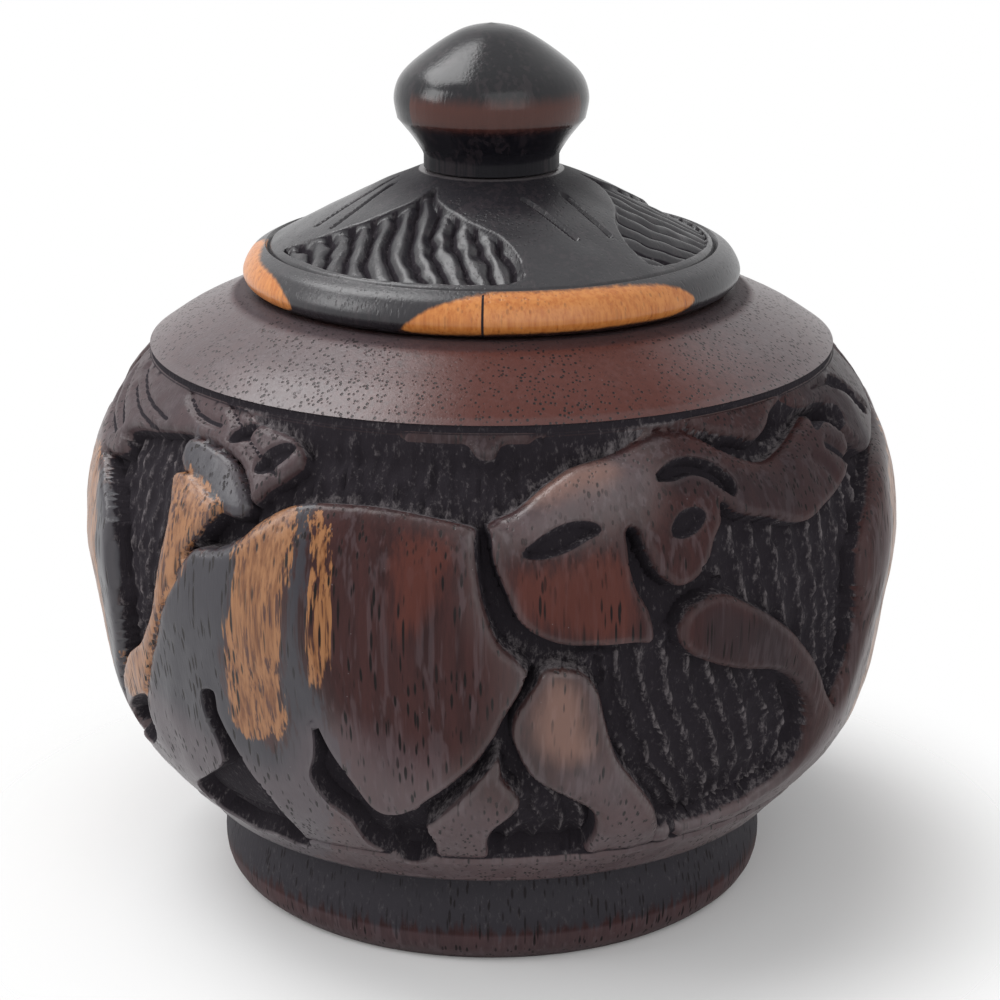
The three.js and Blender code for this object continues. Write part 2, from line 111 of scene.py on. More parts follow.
def smooth_curve(points: Points, per_span: int, closed: bool = False, power: float = 0.5) -> Array:
    """Runs a Catmull-Rom curve through given points.

    Args:
        points: The points, in any two units.
        per_span: Steps between two neighbouring points.
        closed: Whether the curve returns to its first point.
        power: 0 spaces the knots evenly, 0.5 by the root of the distance.

    Returns:
        The curve's points, one row each.
    """
    base = np.asarray(points, float)
    ring = np.vstack([base[-1], base, base[0], base[1]]) if closed else np.vstack([base[0], base, base[-1]])
    made = []
    for p0, p1, p2, p3 in zip(ring, ring[1:], ring[2:], ring[3:]):
        k1, k2, k3 = np.cumsum([max(float(np.linalg.norm(b - a)), 1e-6) ** power
                                for a, b in ((p0, p1), (p1, p2), (p2, p3))])
        t = np.linspace(k1, k2, per_span, endpoint=False)[:, None]
        a1, a2, a3 = part_way(t, 0, k1, p0, p1), part_way(t, k1, k2, p1, p2), part_way(t, k2, k3, p2, p3)
        made.append(part_way(t, k1, k2, part_way(t, 0, k2, a1, a2), part_way(t, k1, k3, a2, a3)))
    if not closed:
        made.append(base[-1:])
    return np.vstack(made)


def lengths(line: Array) -> Array:
    """Returns how far along a line each of its points lies."""
    return np.concatenate([[0.0], np.cumsum(np.linalg.norm(np.diff(line, axis=0), axis=1))])


def even_steps(line: Array, count: int) -> Array:
    """Returns count + 1 points at even distances along an open line."""
    along = lengths(line)
    wanted = np.linspace(0, along[-1], count + 1)
    return np.column_stack([np.interp(wanted, along, line[:, 0]), np.interp(wanted, along, line[:, 1])])


def ease(value: Array) -> Array:
    """Returns a smooth step from 0 to 1 of a value from 0 to 1."""
    held = np.clip(value, 0, 1)
    return held * held * (3 - 2 * held)


def plan(turn: Array, radius: Array) -> Array:
    """Turns degrees and radii into places seen from above, with the front at -Y."""
    angle = np.radians(turn)
    return np.column_stack([radius * np.sin(angle), -radius * np.cos(angle)])


def measure(points: Array, line: Array, closed: bool = True, margin: float = REACH) -> tuple[Array, ...]:
    """Measures points against a line, within a margin of it.

    Args:
        points: Flat points, one row each.
        line: The line's points.
        closed: Whether the line is an outline, whose inside counts as positive.
        margin: The distance that is given to all points further off.

    Returns:
        The distance of each point, below 0 outside an outline, the nearest place on the line, and how far up
        an outline faces there, from -1 to 1.
    """
    low, high = line.min(0) - margin, line.max(0) + margin
    near = np.flatnonzero(((points > low) & (points < high)).all(1))
    distance = np.full(len(points), -margin if closed else margin)
    place = points.copy()
    up = np.zeros(len(points))
    start = line if closed else line[:-1]
    end = np.roll(line, -1, 0) if closed else line[1:]
    edge = end - start
    length2 = np.maximum((edge ** 2).sum(1), 1e-12)
    rise = np.where(np.abs(edge[:, 1]) < 1e-9, 1e-9, edge[:, 1])
    along = edge + np.roll(edge, 1, 0)
    winding = np.sign((start[:, 0] * end[:, 1] - end[:, 0] * start[:, 1]).sum())
    faces = -winding * along[:, 0] / np.maximum(np.linalg.norm(along, axis=1), 1e-9)
    for first in range(0, len(near), 8192):
        rows = near[first:first + 8192]
        x, y = points[rows, 0][:, None], points[rows, 1][:, None]
        share = (x - start[:, 0]) * edge[:, 0] + (y - start[:, 1]) * edge[:, 1]
        share = np.clip(share / length2, 0, 1)
        gap_x = x - start[:, 0] - share * edge[:, 0]
        gap_y = y - start[:, 1] - share * edge[:, 1]
        squared = gap_x ** 2 + gap_y ** 2
        best = squared.argmin(1)
        each = np.arange(len(rows))
        found = np.minimum(np.sqrt(squared[each, best]), margin if not closed else 1e9)
        place[rows] = points[rows] - np.column_stack([gap_x[each, best], gap_y[each, best]])
        part = share[each, best]
        up[rows] = (1 - part) * faces[best] + part * faces[(best + 1) % len(faces)]
        if closed:
            crossing = (start[:, 1] > y) != (end[:, 1] > y)
            inside = (crossing & (x < start[:, 0] + (y - start[:, 1]) / rise * edge[:, 0])).sum(1) % 2 == 1
            found = np.where(inside, found, np.maximum(-found, -margin))
        distance[rows] = found
    return distance, place, up


def inside_of(points: Array, line: Array, margin: float = REACH) -> Array:
    """Returns how far inside an outline each point lies, below 0 outside it."""
    return measure(points, line, True, margin)[0]


def away_from(points: Array, line: Array) -> Array:
    """Returns how far each point lies from an open line."""
    return measure(points, line, False)[0]


def deepest_inside(points: Array, lines: list[Array]) -> Array:
    """Returns how far inside any of some outlines each point lies, held between FAR and -FAR."""
    return np.clip(np.max([inside_of(points, line, -FAR) for line in lines], axis=0), FAR, -FAR)


@dataclass(frozen=True)
class Waver:
    """A smooth seeded unevenness of about -1 to 1, as a hand tool leaves, with its length in each way."""

    stretch: tuple[float, ...]
    seed: int
    waves: int = 16

    def at(self, points: Array) -> Array:
        """Returns the unevenness at points with one column for each stretch."""
        source = np.random.default_rng(self.seed)
        total = np.zeros(len(points))
        for _ in range(self.waves):
            way = source.normal(size=len(self.stretch))
            way *= 2 * math.pi * source.uniform(0.6, 1.5) / np.linalg.norm(way) / np.asarray(self.stretch)
            total += np.sin(points @ way + source.uniform(0, 2 * math.pi))
        return total / math.sqrt(self.waves) / 1.2


# The drawing of the carved band: points are (degrees, height)


@dataclass(frozen=True)
class Figure:
    """Wood left standing on the sunk ground.

    top is its level below the turned outline. edge and fall are the width and fall of its rubbed edges, and
    crown and crown_fall are the same for edges that face up. wall is the width of the cut down to the ground.
    raw is how rough its face was left and dust how much dust lies at its foot, from 0 to 1.
    """

    name: str
    outline: Points
    top: float = 0.2
    edge: float = 0.8
    fall: float = 0.35
    crown: float = 1.2
    crown_fall: float = 0.6
    wall: float = 0.5
    raw: float = 0.0
    dust: float = 1.0


@dataclass(frozen=True)
class Hollow:
    """A place cut down from the surface round it. bank is the width over which it falls to its depth."""

    name: str
    outline: Points
    depth: float
    bank: float = 0.8


@dataclass(frozen=True)
class Gouge:
    """A groove along a path, with a round bottom. raw is the share of its width that is left raw."""

    path: Points
    width: float
    depth: float
    raw: float = 0.5


@dataclass(frozen=True)
class Fan:
    """Gouge strokes side by side on the sunk ground of a pocket, between two guide lines."""

    pocket: Points
    left: Points
    right: Points
    strokes: int
    depth: float


FIGURES = (
    Figure("torso", (
        (-42.9, 57), (-38.8, 57.8), (-34.9, 59.7), (-32.5, 61.8), (-29.3, 63.9), (-25.8, 65), (-21.3, 65.4),
        (-17, 65.5), (-13, 65.3), (-8.6, 64.8), (-5.2, 64.3), (-2.2, 63.6), (-1.9, 62.8), (-1.7, 58),
        (-0.7, 53.8), (0.9, 50), (2.8, 48.1), (4.7, 46.3), (3.6, 43.6), (1.4, 39.9), (0.5, 37.8),
        (-1.8, 34.5), (-5.1, 31.4), (-10.2, 27.2), (-12.6, 25.8), (-14.2, 24.4), (-15.7, 21.7), (-17, 15),
        (-40, 15), (-74, 15), (-73, 22), (-66, 27.5), (-60, 32), (-57.4, 34.2), (-53.7, 40.5), (-50.2, 45.9),
        (-47.6, 51.2), (-45.4, 53.8)), crown=1.8, crown_fall=0.9),
    Figure("head", (
        (-0.3, 64.1), (3.5, 65.7), (7.6, 68.2), (11.4, 70.1), (15.5, 70.8), (19, 71.4), (21.7, 72.1),
        (25.8, 72.9), (29.6, 72.7), (32.3, 71.9), (35.2, 70.4), (38.6, 68.8), (40.5, 68.1), (43.6, 67.6),
        (47.7, 68.4), (53.3, 70), (57.3, 70.8), (60.9, 69.7), (62.8, 66.8), (59.4, 63.2), (55.2, 61.7),
        (51.3, 60.7), (47, 59.7), (43.8, 60.2), (40.7, 61.4), (36.9, 62.3), (34.7, 63.2), (33.6, 64.3),
        (32.4, 64.3), (31.9, 62.2), (30.4, 60.4), (29.1, 58), (26.9, 56.1), (24.6, 55.6), (23.5, 56.2),
        (22.1, 57.4), (20.6, 60.2), (19.7, 62.8), (18.8, 63.2), (17.8, 62.6), (17.8, 61.1), (17.9, 58.7),
        (18.8, 55.9), (20.1, 53.6), (20.8, 50.4), (20.6, 49.2), (18.2, 49.3), (13.8, 49.4), (10, 49.7),
        (6.9, 50.6), (3.9, 52.6), (2.1, 56.2), (0.5, 60), (0.1, 62.8)), top=0.1, edge=1.0, fall=0.4,
        crown=4.6, crown_fall=1.9),
    Figure("foreleg", (
        (6.9, 46), (9.9, 46.1), (12, 45.3), (14.1, 42.5), (15.3, 38.7), (17.3, 33.4), (20.2, 29.6),
        (23.7, 25.3), (26.4, 20.7), (27, 15), (15.4, 15), (15.8, 21.9), (15, 25.2), (13.6, 26.8),
        (10.9, 28.5), (6.2, 31.4), (4.2, 34.1), (2.9, 37.8), (3.3, 40.3), (5.1, 43.1)), top=0.35, edge=1.3,
        fall=0.5),
    Figure("far_foreleg", (
        (0.8, 34.4), (1.4, 31.5), (3.9, 28.1), (2.7, 26.1), (0.1, 23.6), (-0.7, 21.1), (-0.9, 15), (-8.4, 15),
        (-8.4, 20.8), (-9.3, 23.7), (-6.1, 26.5), (-2.2, 30.6)), top=0.5, edge=0.6, fall=0.25),
    Figure("limb", (
        (25.1, 50.6), (26.4, 52.3), (29.1, 53.4), (31.9, 53.2), (35.1, 51.6), (39.1, 49.2), (43.3, 46.3),
        (47.2, 43), (50.9, 39.7), (54.5, 35.3), (58.6, 31.7), (68, 27), (72, 15), (27, 15), (27, 19.2),
        (32.6, 19.9), (39.1, 20.3), (44, 20.9), (47.9, 22.4), (51.2, 23.9), (52.6, 26.4), (52.5, 29.8),
        (51.2, 33.3), (48.2, 36.9), (44.8, 39.6), (41.1, 41.4), (35.6, 42.7), (30.7, 44.4), (26.6, 46.6),
        (25, 48.8)), top=0.4, edge=1.2, fall=0.6, dust=0.4),
    Figure("right_tree", (
        (86, 73), (84, 66), (76.7, 63.2), (70.5, 60.4), (66, 57.4), (61.5, 52.6), (61, 48.1), (62.6, 44),
        (63.8, 40.5), (62.9, 36), (59, 31.6), (58, 25), (58.5, 15), (86, 15), (86.4, 30), (86.4, 45),
        (86, 60)), top=0.3, edge=2.6, fall=1.0, crown=3.0, crown_fall=1.2, dust=0.3),
    Figure("left_tree", (
        (-86, 66), (-80, 64.5), (-74.5, 61.9), (-68.8, 58.8), (-65.8, 55.6), (-65, 48.5), (-65.4, 44),
        (-66.8, 40), (-68.4, 36.6), (-71.5, 30), (-72.5, 22), (-73, 15), (-86, 15), (-86.4, 30), (-86.4, 50)),
        top=0.3, edge=1.6, fall=0.6, dust=0.0),
    Figure("tail", (
        (-47.1, 65.1), (-49.8, 64.6), (-48.5, 60.9), (-49.4, 54.5), (-51.4, 47.2), (-54.3, 43.4),
        (-57.1, 40.8), (-63.1, 37.2), (-68.9, 31.2), (-71.3, 26.6), (-63.2, 30.2), (-57.6, 33.8),
        (-54.1, 39.6), (-50.9, 44.4), (-47.7, 49.9), (-45.4, 53), (-44.6, 56.2), (-43, 58.2), (-40.8, 60.8),
        (-39.6, 62.5), (-43.5, 64)), top=0.3, edge=0.6, fall=0.3, crown=0.6, crown_fall=0.3),
    Figure("tail_root", (
        (-51, 68.2), (-50.1, 69.2), (-44.5, 69), (-39.3, 67.7), (-36.3, 65.3), (-35.1, 63.5), (-35.7, 62.2),
        (-38.7, 62.1), (-39.6, 62.5), (-43.5, 64), (-47.1, 65.1), (-49.5, 65.6), (-50.7, 66.8)), top=0.9,
        edge=1.2, fall=0.6, crown=1.4, crown_fall=0.8, raw=0.2),
    Figure("left_foliage", (
        (-87, 60), (-78, 61.6), (-68.6, 63.7), (-69.4, 65.8), (-57.7, 68.6), (-50.5, 69.6), (-44.6, 69.5),
        (-38.5, 68), (-35.6, 65.6), (-34.3, 64), (-32.2, 65.8), (-27.9, 69.2), (-29.5, 71.1), (-37.4, 72.2),
        (-40.2, 72.8), (-45, 74.5), (-66, 74.5), (-87, 74.5)), top=0.6, edge=1.2, fall=0.7, crown_fall=0.4,
        raw=0.5),
    Figure("flap", (
        (24.9, 73.8), (28.9, 73.3), (34.7, 71.8), (39.9, 70.7), (42, 70.1), (44.6, 70.7), (48.1, 72.2),
        (52.1, 73.4), (50, 75), (26, 75)), top=0.2, edge=0.7, fall=0.3, raw=0.2),
    Figure("right_foliage", (
        (51.5, 74), (54.3, 72.1), (58.4, 71.5), (64.7, 70.3), (64.1, 68), (66.6, 65), (70, 63.4),
        (76.1, 64.3), (82, 65.5), (86.5, 67), (86.5, 75), (60, 75)), top=0.5, edge=1.2, fall=0.6,
        crown_fall=0.3, raw=0.4),
    Figure("lip", (
        (-14.5, 74.5), (-13.5, 72.9), (-8, 72.6), (-3.4, 72.4), (-1.8, 71.3), (0.4, 71.2), (1.6, 72.4),
        (6, 72.7), (9, 74.5)), top=0.5, edge=0.5, fall=0.3, raw=0.6),
)

BORDERS = (
    Figure("base_ring", ((-100, 0), (100, 0), (100, 18), (-100, 18)), top=0.1, edge=0.7, fall=0.25, dust=0.0),
    Figure("shoulder_edge", ((-100, 73.1), (100, 73.1), (100, 90), (-100, 90)), top=0.4, edge=0.4, fall=0.2,
           wall=0.7, raw=1.0, dust=0.0),
)

HOLLOWS = (
    Hollow("haunch_groove", (
        (-25.5, 43.3), (-24.9, 41.4), (-23.8, 38.8), (-21.9, 34.8), (-19.1, 30.7), (-15.9, 26.5),
        (-13.1, 26.2), (-10.2, 27.2), (-9.3, 23.9), (-8.4, 21), (-9.4, 18.2), (-13.3, 16.5), (-16, 17.7),
        (-18.9, 19.5), (-20.6, 24.3), (-23.9, 27.2), (-25.4, 30.1), (-24.4, 33.5), (-24.3, 37),
        (-25.4, 41.4)), 2.7),
    Hollow("hind_groove", (
        (-42.6, 38.5), (-40.2, 39), (-39.8, 36.3), (-38.9, 34.5), (-35.9, 29.3), (-32.5, 24.4), (-31, 19.5),
        (-32.1, 16.1), (-35.4, 15.5), (-39.4, 16.4), (-47.2, 15.5), (-53.9, 17.5), (-52.1, 21.6),
        (-45.5, 25.6), (-40.9, 28.9), (-41.3, 32), (-42.7, 35.6)), 2.4),
    Hollow("belly_groove", (
        (0.5, 37.8), (-1.8, 34.5), (-5.1, 31.4), (-10.2, 27.2), (-9.3, 23.9), (-6.1, 26.5), (-2.2, 30.6),
        (0.8, 34.3), (1.4, 36.4)), 2.2),
    Hollow("neck_slope", (
        (-0.7, 64), (-2.1, 62.8), (-1.7, 58), (-0.7, 53.8), (0.9, 50), (2.8, 48.1), (4.7, 46.3), (6.9, 46.6),
        (10.4, 46.9), (13.9, 47.1), (18.3, 46.7), (20.6, 48.9), (18.2, 49.3), (13.8, 49.4), (10, 49.7),
        (6.9, 50.6), (3.9, 52.6), (2.1, 56.2), (0.5, 60), (0.1, 62.8)), 1.3, 1.2),
    Hollow("under_the_ear", (
        (-0.2, 63.6), (-1.1, 62.6), (-0.5, 58.8), (0.7, 55), (2.7, 51.6), (5, 49.2), (8.2, 48), (13, 47.6),
        (18, 48), (20, 49), (18.2, 49.4), (13.8, 49.5), (10, 49.8), (6.9, 50.7), (3.9, 52.7), (2.1, 56.3),
        (0.5, 60.1), (0.2, 62.8)), 1.6, 0.6),
    Hollow("foreleg_groove", (
        (4.7, 46.1), (3.6, 43.6), (1.4, 39.9), (0.5, 37.8), (1, 35.1), (1.8, 31.5), (3.9, 28.6), (4.6, 30.2),
        (4.2, 34.1), (2.9, 37.8), (3.3, 40.3), (5.1, 43.1), (6.2, 45.2)), 2.2, 0.6),
    Hollow("ear_slit", (
        (3.5, 60.6), (5.6, 62.2), (8.9, 63.8), (12.3, 64.2), (14.5, 63.5), (14.6, 62.7), (12.7, 61.9),
        (10.1, 60.8), (6.6, 60), (4.4, 60.2)), 1.4, 0.9),
    Hollow("wedge", (
        (17.8, 62.6), (18.8, 63.2), (19.7, 62.8), (20.6, 60.2), (22.1, 57.4), (23.5, 56.2), (24.6, 55.6),
        (26.9, 56.1), (29.1, 58), (30.4, 56.6), (33.2, 54.8), (29.3, 53.4), (26.4, 52.3), (25.1, 50.6),
        (23.6, 48.7), (20.9, 48.9), (20.8, 50.4), (20.1, 53.6), (18.8, 55.9), (17.9, 58.7), (17.8, 61.1)),
        2.8),
    Hollow("eye", (
        (24, 62.1), (25.2, 63.7), (26.9, 64.3), (28.8, 64.2), (29.8, 63.2), (28.8, 62), (27.2, 61.2),
        (25.5, 60.9), (24.3, 61.3)), 1.3),
    Hollow("brow", (
        (22.6, 67.7), (25.4, 69.3), (28.6, 69.7), (32, 68.9), (34.9, 67.1), (35.7, 65.5), (34.8, 64.4),
        (33.2, 65.4), (31.3, 66.7), (29, 67.5), (25.7, 67.2)), 1.7),
    Hollow("rump_oval", (
        (-43.1, 57), (-42.1, 59.1), (-40.8, 60.8), (-38.5, 61.8), (-35.8, 62.3), (-34.4, 62.5), (-34.2, 61.6),
        (-34.6, 60.4), (-37.9, 58.6)), 2.4),
    Hollow("tail_notch", ((-73.7, 24.8), (-57.8, 33.4), (-57.6, 30.4), (-57.1, 28.2), (-67.6, 23)), 2.2),
    Hollow("foliage_eye_high", ((-42, 69.8), (-41.1, 71.5), (-37.3, 72.3), (-38, 70.8), (-39.6, 69.9)), 1.1),
    Hollow("foliage_eye_low", (
        (-35.5, 67.4), (-34.5, 69.7), (-31.2, 71.1), (-29.4, 70.7), (-30.8, 68.9), (-33.5, 67.2)), 1.1),
    Hollow("right_cup_high", ((45.6, 70.9), (48.6, 72.5), (52.5, 72.2), (49.5, 70.7), (46.5, 69.9)), 1.2),
    Hollow("right_cup_low", (
        (58, 71.3), (66.1, 69.9), (65.8, 67.9), (62.6, 66.6), (59.8, 68.9), (55.4, 68.6)), 1.4, 1.4),
    Hollow("crest_slot", ((68, 71.8), (71.5, 70.2), (75, 66.8), (77.5, 66.4), (75, 70.8), (71, 72.8)), 0.9),
)

GOUGES = (
    Gouge(((-100, 18), (-54, 18), (-28, 18), (0, 18), (27, 18), (60, 18), (100, 18)), 0.9, 0.5, 0.9),
    Gouge(((-45.2, 53.2), (-47.6, 50.2), (-50.6, 44.6), (-53.9, 39.8), (-57.4, 34.2)), 0.6, 0.4, 0.0),
    Gouge(((-78, 72.4), (-69, 70.8), (-58, 69.8)), 1.6, 0.5),
    Gouge(((-76, 70.4), (-68, 69), (-60, 68.4)), 1.6, 0.5),
    Gouge(((-84, 70.8), (-78, 68), (-72, 66.4)), 2.0, 0.6),
    Gouge(((-85, 67.6), (-80, 65.6), (-73, 64.8)), 1.8, 0.5),
    Gouge(((-56, 73), (-51, 71.6), (-45, 71.2)), 1.6, 0.5),
    Gouge(((-45, 73.2), (-38, 70.4), (-31.5, 67.4)), 1.4, 0.5),
    Gouge(((14.3, 46.4), (14.9, 42.5), (15.9, 38.7), (18, 33.4), (21, 29.6), (24.5, 25.3), (27.4, 20.3)), 1.5,
          0.9, 0.8),
    Gouge(((24.6, 27.4), (27.4, 24), (29.6, 20.2), (30.6, 18.6)), 2.2, 0.8),
    Gouge(((62, 72.6), (68, 72.2), (74, 70), (79, 67)), 0.7, 0.5),
    Gouge(((57, 66.8), (59.4, 65.4), (61.2, 63.8)), 2.2, 0.9),
    Gouge(((52.4, 66.2), (54.6, 64.6), (55.6, 62.8)), 1.8, 0.5, 0.0),
    Gouge(((64, 66.8), (66.8, 63), (68.6, 60.4)), 1.8, 0.9),
)

FANS = (
    Fan(((-72, 30), (-44, 30), (-44, 70), (-72, 70)),
        ((-68.4, 36), (-65.4, 44), (-65.3, 48.5), (-65.8, 57), (-67, 67)),
        ((-58, 36), (-53.5, 43.4), (-50.6, 47.2), (-48.6, 54.5), (-47.6, 60.9), (-49, 67)), 6, 0.7),
    Fan(((30, 54), (34, 53), (58.6, 31), (66, 33), (68, 62), (50, 63), (36, 63)),
        ((44, 30), (38, 40), (33, 52), (30.5, 64)),
        ((68, 30), (64, 40), (61.5, 50), (62.5, 64)), 8, 0.95),
    Fan(((15, 49), (25, 48), (41, 42), (53.5, 32), (53.5, 23), (44, 19.5), (26, 18.5), (16, 36)),
        ((32.5, 18), (28.5, 25), (24.4, 29.3), (20.8, 35.5), (18.7, 39.2), (17.6, 43), (17.2, 47)),
        ((46, 20.5), (50.2, 23), (52.6, 26.6), (52.4, 30.5), (50.6, 34.8), (47.6, 39), (43, 47)), 8,
        1.15),
    Fan(((-1, 14), (16.5, 14), (16.5, 34), (-1, 34)),
        ((-2, 17), (1, 24), (2.4, 34)), ((16, 17), (13, 25), (6, 34)), 4, 0.9),
)

ZONES = {
    Mark.SAPWOOD: (
        ((-96, 61), (-84.1, 60.8), (-76, 61.7), (-71.5, 56.8), (-70.6, 48.8), (-72, 41.7), (-75, 34),
         (-82, 26), (-96, 24)),
        ((-47.1, 65.6), (-51, 64.6), (-50.5, 57), (-54, 48), (-60.5, 40), (-70, 34), (-66, 31), (-57.6, 33.8),
         (-54.1, 39.6), (-50.9, 44.4), (-47.7, 49.9), (-45.4, 53), (-43, 58.2), (-39.6, 62.5)),
        ((-35.1, 59.9), (-32.3, 62.7), (-27.6, 65.2), (-26, 62), (-26.6, 57.5), (-27.4, 51.3), (-28.6, 40.5),
         (-28.4, 36.3), (-32.8, 34.2), (-36.6, 34.4), (-36.9, 40), (-36.3, 47), (-34.6, 53.7)),
        ((-24.2, 63.5), (-22.8, 64.4), (-21, 60.8), (-20.7, 54.6), (-21, 47), (-22.4, 42.8), (-23.6, 43.9),
         (-23, 51.8), (-23, 58.9)),
        ((92, 64), (80, 62), (75.5, 57), (74, 50), (73.5, 42), (71, 34), (69, 26), (92, 22)),
    ),
    Mark.BLACK: (
        ((-72, 60), (-64.8, 57), (-64, 48), (-64.6, 43), (-67.5, 36), (-71, 29), (-74, 29), (-71.6, 42),
         (-70.2, 49), (-71.2, 56)),
        ((-51, 66.6), (-50.3, 69.2), (-44.5, 69), (-38.5, 67.7), (-34.5, 64), (-35.2, 62.2), (-40.6, 62.6),
         (-46.6, 65.2)),
        ((-43, 56.3), (-35.4, 58.9), (-34.6, 53.7), (-36.3, 47), (-37.2, 38.6), (-30, 33), (-27.6, 37),
         (-28, 45), (-26.6, 52), (-26.2, 60), (-26.3, 65.6), (-24.6, 65.6), (-24.2, 56), (-24.6, 46),
         (-22.6, 41), (-20, 33), (-24, 24), (-30, 15), (-60, 15), (-63, 28), (-57.3, 33), (-51, 43.3),
         (-45, 52.8)),
    ),
    Mark.RED: (
        ((-12.1, 61.5), (-9.7, 62.6), (-5.7, 61.8), (-5.8, 56.8), (-8, 53), (-11.1, 51.2), (-12.3, 55.3)),
        ((3, 58.5), (8, 59), (16, 60), (18, 54), (17, 50.4), (9, 51.4), (4.6, 54)),
    ),
    # Painted sheen and highlight: the head's top, the upper left leaves, the foreleg's foot and the lower
    # band.
    Mark.BLOOM: (
        ((1, 63.6), (5, 65.6), (10, 68.6), (15, 70.2), (20, 70.4), (22.5, 68), (18, 65.4), (12, 65),
         (7, 62.8)),
        ((-90, 62), (-69, 64.5), (-57, 68.6), (-44, 69.5), (-34, 65), (-28, 70), (-40, 76), (-90, 76)),
        ((14, 34), (18.5, 30), (24, 23), (24, 18), (16, 18), (15.5, 26), (10, 31)),
        ((-62, 36), (-50, 34), (-30, 30), (-24, 38), (-8, 35), (-4, 30), (4, 26), (24, 22), (50, 22),
         (62, 30), (70, 10), (0, 10), (-76, 10), (-72, 26)),
    ),
    # Painted highlight along the head's top, and paler wood on the foreleg.
    Mark.PALE_AND_HIGHLIGHT: (
        ((4, 66.6), (5.5, 68.2), (9, 69.8), (13.5, 70.7), (17, 70.4), (18.5, 69), (17, 67.6), (12, 66.8),
         (7, 65.8)),
        ((7.4, 45.6), (9.7, 45.6), (12, 43), (13, 39), (14, 35), (12, 33.4), (8, 34), (5.4, 37), (5.4, 41)),
    ),
    # Duller, darker patches on the trunk, the limb's top and the right leaves.
    Mark.DULL_AND_SHADE: (
        ((25, 67), (30, 69.5), (40, 66.5), (50, 68.5), (58, 69.5), (62, 67), (56, 62.6), (46, 60.6), (36, 63),
         (31, 65.5)),
        ((58, 72), (66, 70), (66, 64), (72, 62), (84, 66), (84, 74), (60, 74)),
        ((29, 52), (38, 48.8), (50, 38), (47, 36), (38, 43), (29, 46)),
    ),
    Mark.MATT: (
        ((-25, 64), (-4, 62), (-2.5, 54), (1, 46), (-2, 36), (-12, 32), (-22, 42)),
        ((1, 60), (5, 50), (20, 48), (26, 44), (44, 28), (52, 24), (66, 36), (72, 56), (70, 74), (28, 74.5),
         (25, 70), (22, 64), (12, 62), (6, 62)),
    ),
}


# Turned pieces


def put(name: str, data: bpy.types.ID) -> Piece:
    """Returns a new object in the scene that holds the data."""
    made = bpy.data.objects.new(name, data)
    bpy.context.scene.collection.objects.link(made)
    return made


def put_shape(name: str, shape: bmesh.types.BMesh) -> Piece:
    """Returns a new object in the scene with a shape as its mesh, and lets the shape go."""
    mesh = bpy.data.meshes.new(name)
    shape.to_mesh(mesh)
    shape.free()
    return put(name, mesh)


def read(items: bpy.types.bpy_prop_collection, name: str, width: int, kind: type = float) -> Array:
    """Returns one property of a mesh's items, with width numbers in each row."""
    held = np.empty(len(items) * width, kind)
    items.foreach_get(name, held)
    return held.reshape(-1, width)


@dataclass(frozen=True)
class Stretch:
    """A stretch of a turned outline: its (radius, height) points and the steps along it."""

    points: Points
    steps: int
    curved: bool = False

    def line(self) -> Array:
        """Returns the stretch's points at even steps, but for the corners of a straight-sided one."""
        if self.curved:
            return even_steps(smooth_curve(self.points, 12, power=0.0), self.steps)
        return np.vstack([even_steps(np.asarray(pair, float), self.steps)
                          for pair in zip(self.points, self.points[1:])])


@dataclass
class Turning:
    """A turned piece, from the lower end of its axis to the upper end."""

    name: str
    stretches: tuple[Stretch, ...]
    steps: int

    def make(self) -> Piece:
        """Spins the outline round the axis.

        Returns:
            The closed piece, linked into the scene.
        """
        outline = np.vstack([stretch.line() for stretch in self.stretches])
        keep = np.concatenate([[True], np.linalg.norm(np.diff(outline, axis=0), axis=1) > 1e-6])
        shape = bmesh.new()
        row = [shape.verts.new((radius * MM, 0, height * MM)) for radius, height in outline[keep]]
        edges = [shape.edges.new(pair) for pair in zip(row, row[1:])]
        bmesh.ops.spin(shape, geom=row + edges, cent=(0, 0, 0), axis=(0, 0, 1), angle=2 * math.pi,
                       steps=self.steps, use_merge=True)
        bmesh.ops.remove_doubles(shape, verts=shape.verts, dist=1e-7)
        bmesh.ops.recalc_face_normals(shape, faces=shape.faces)
        return put_shape(self.name, shape)


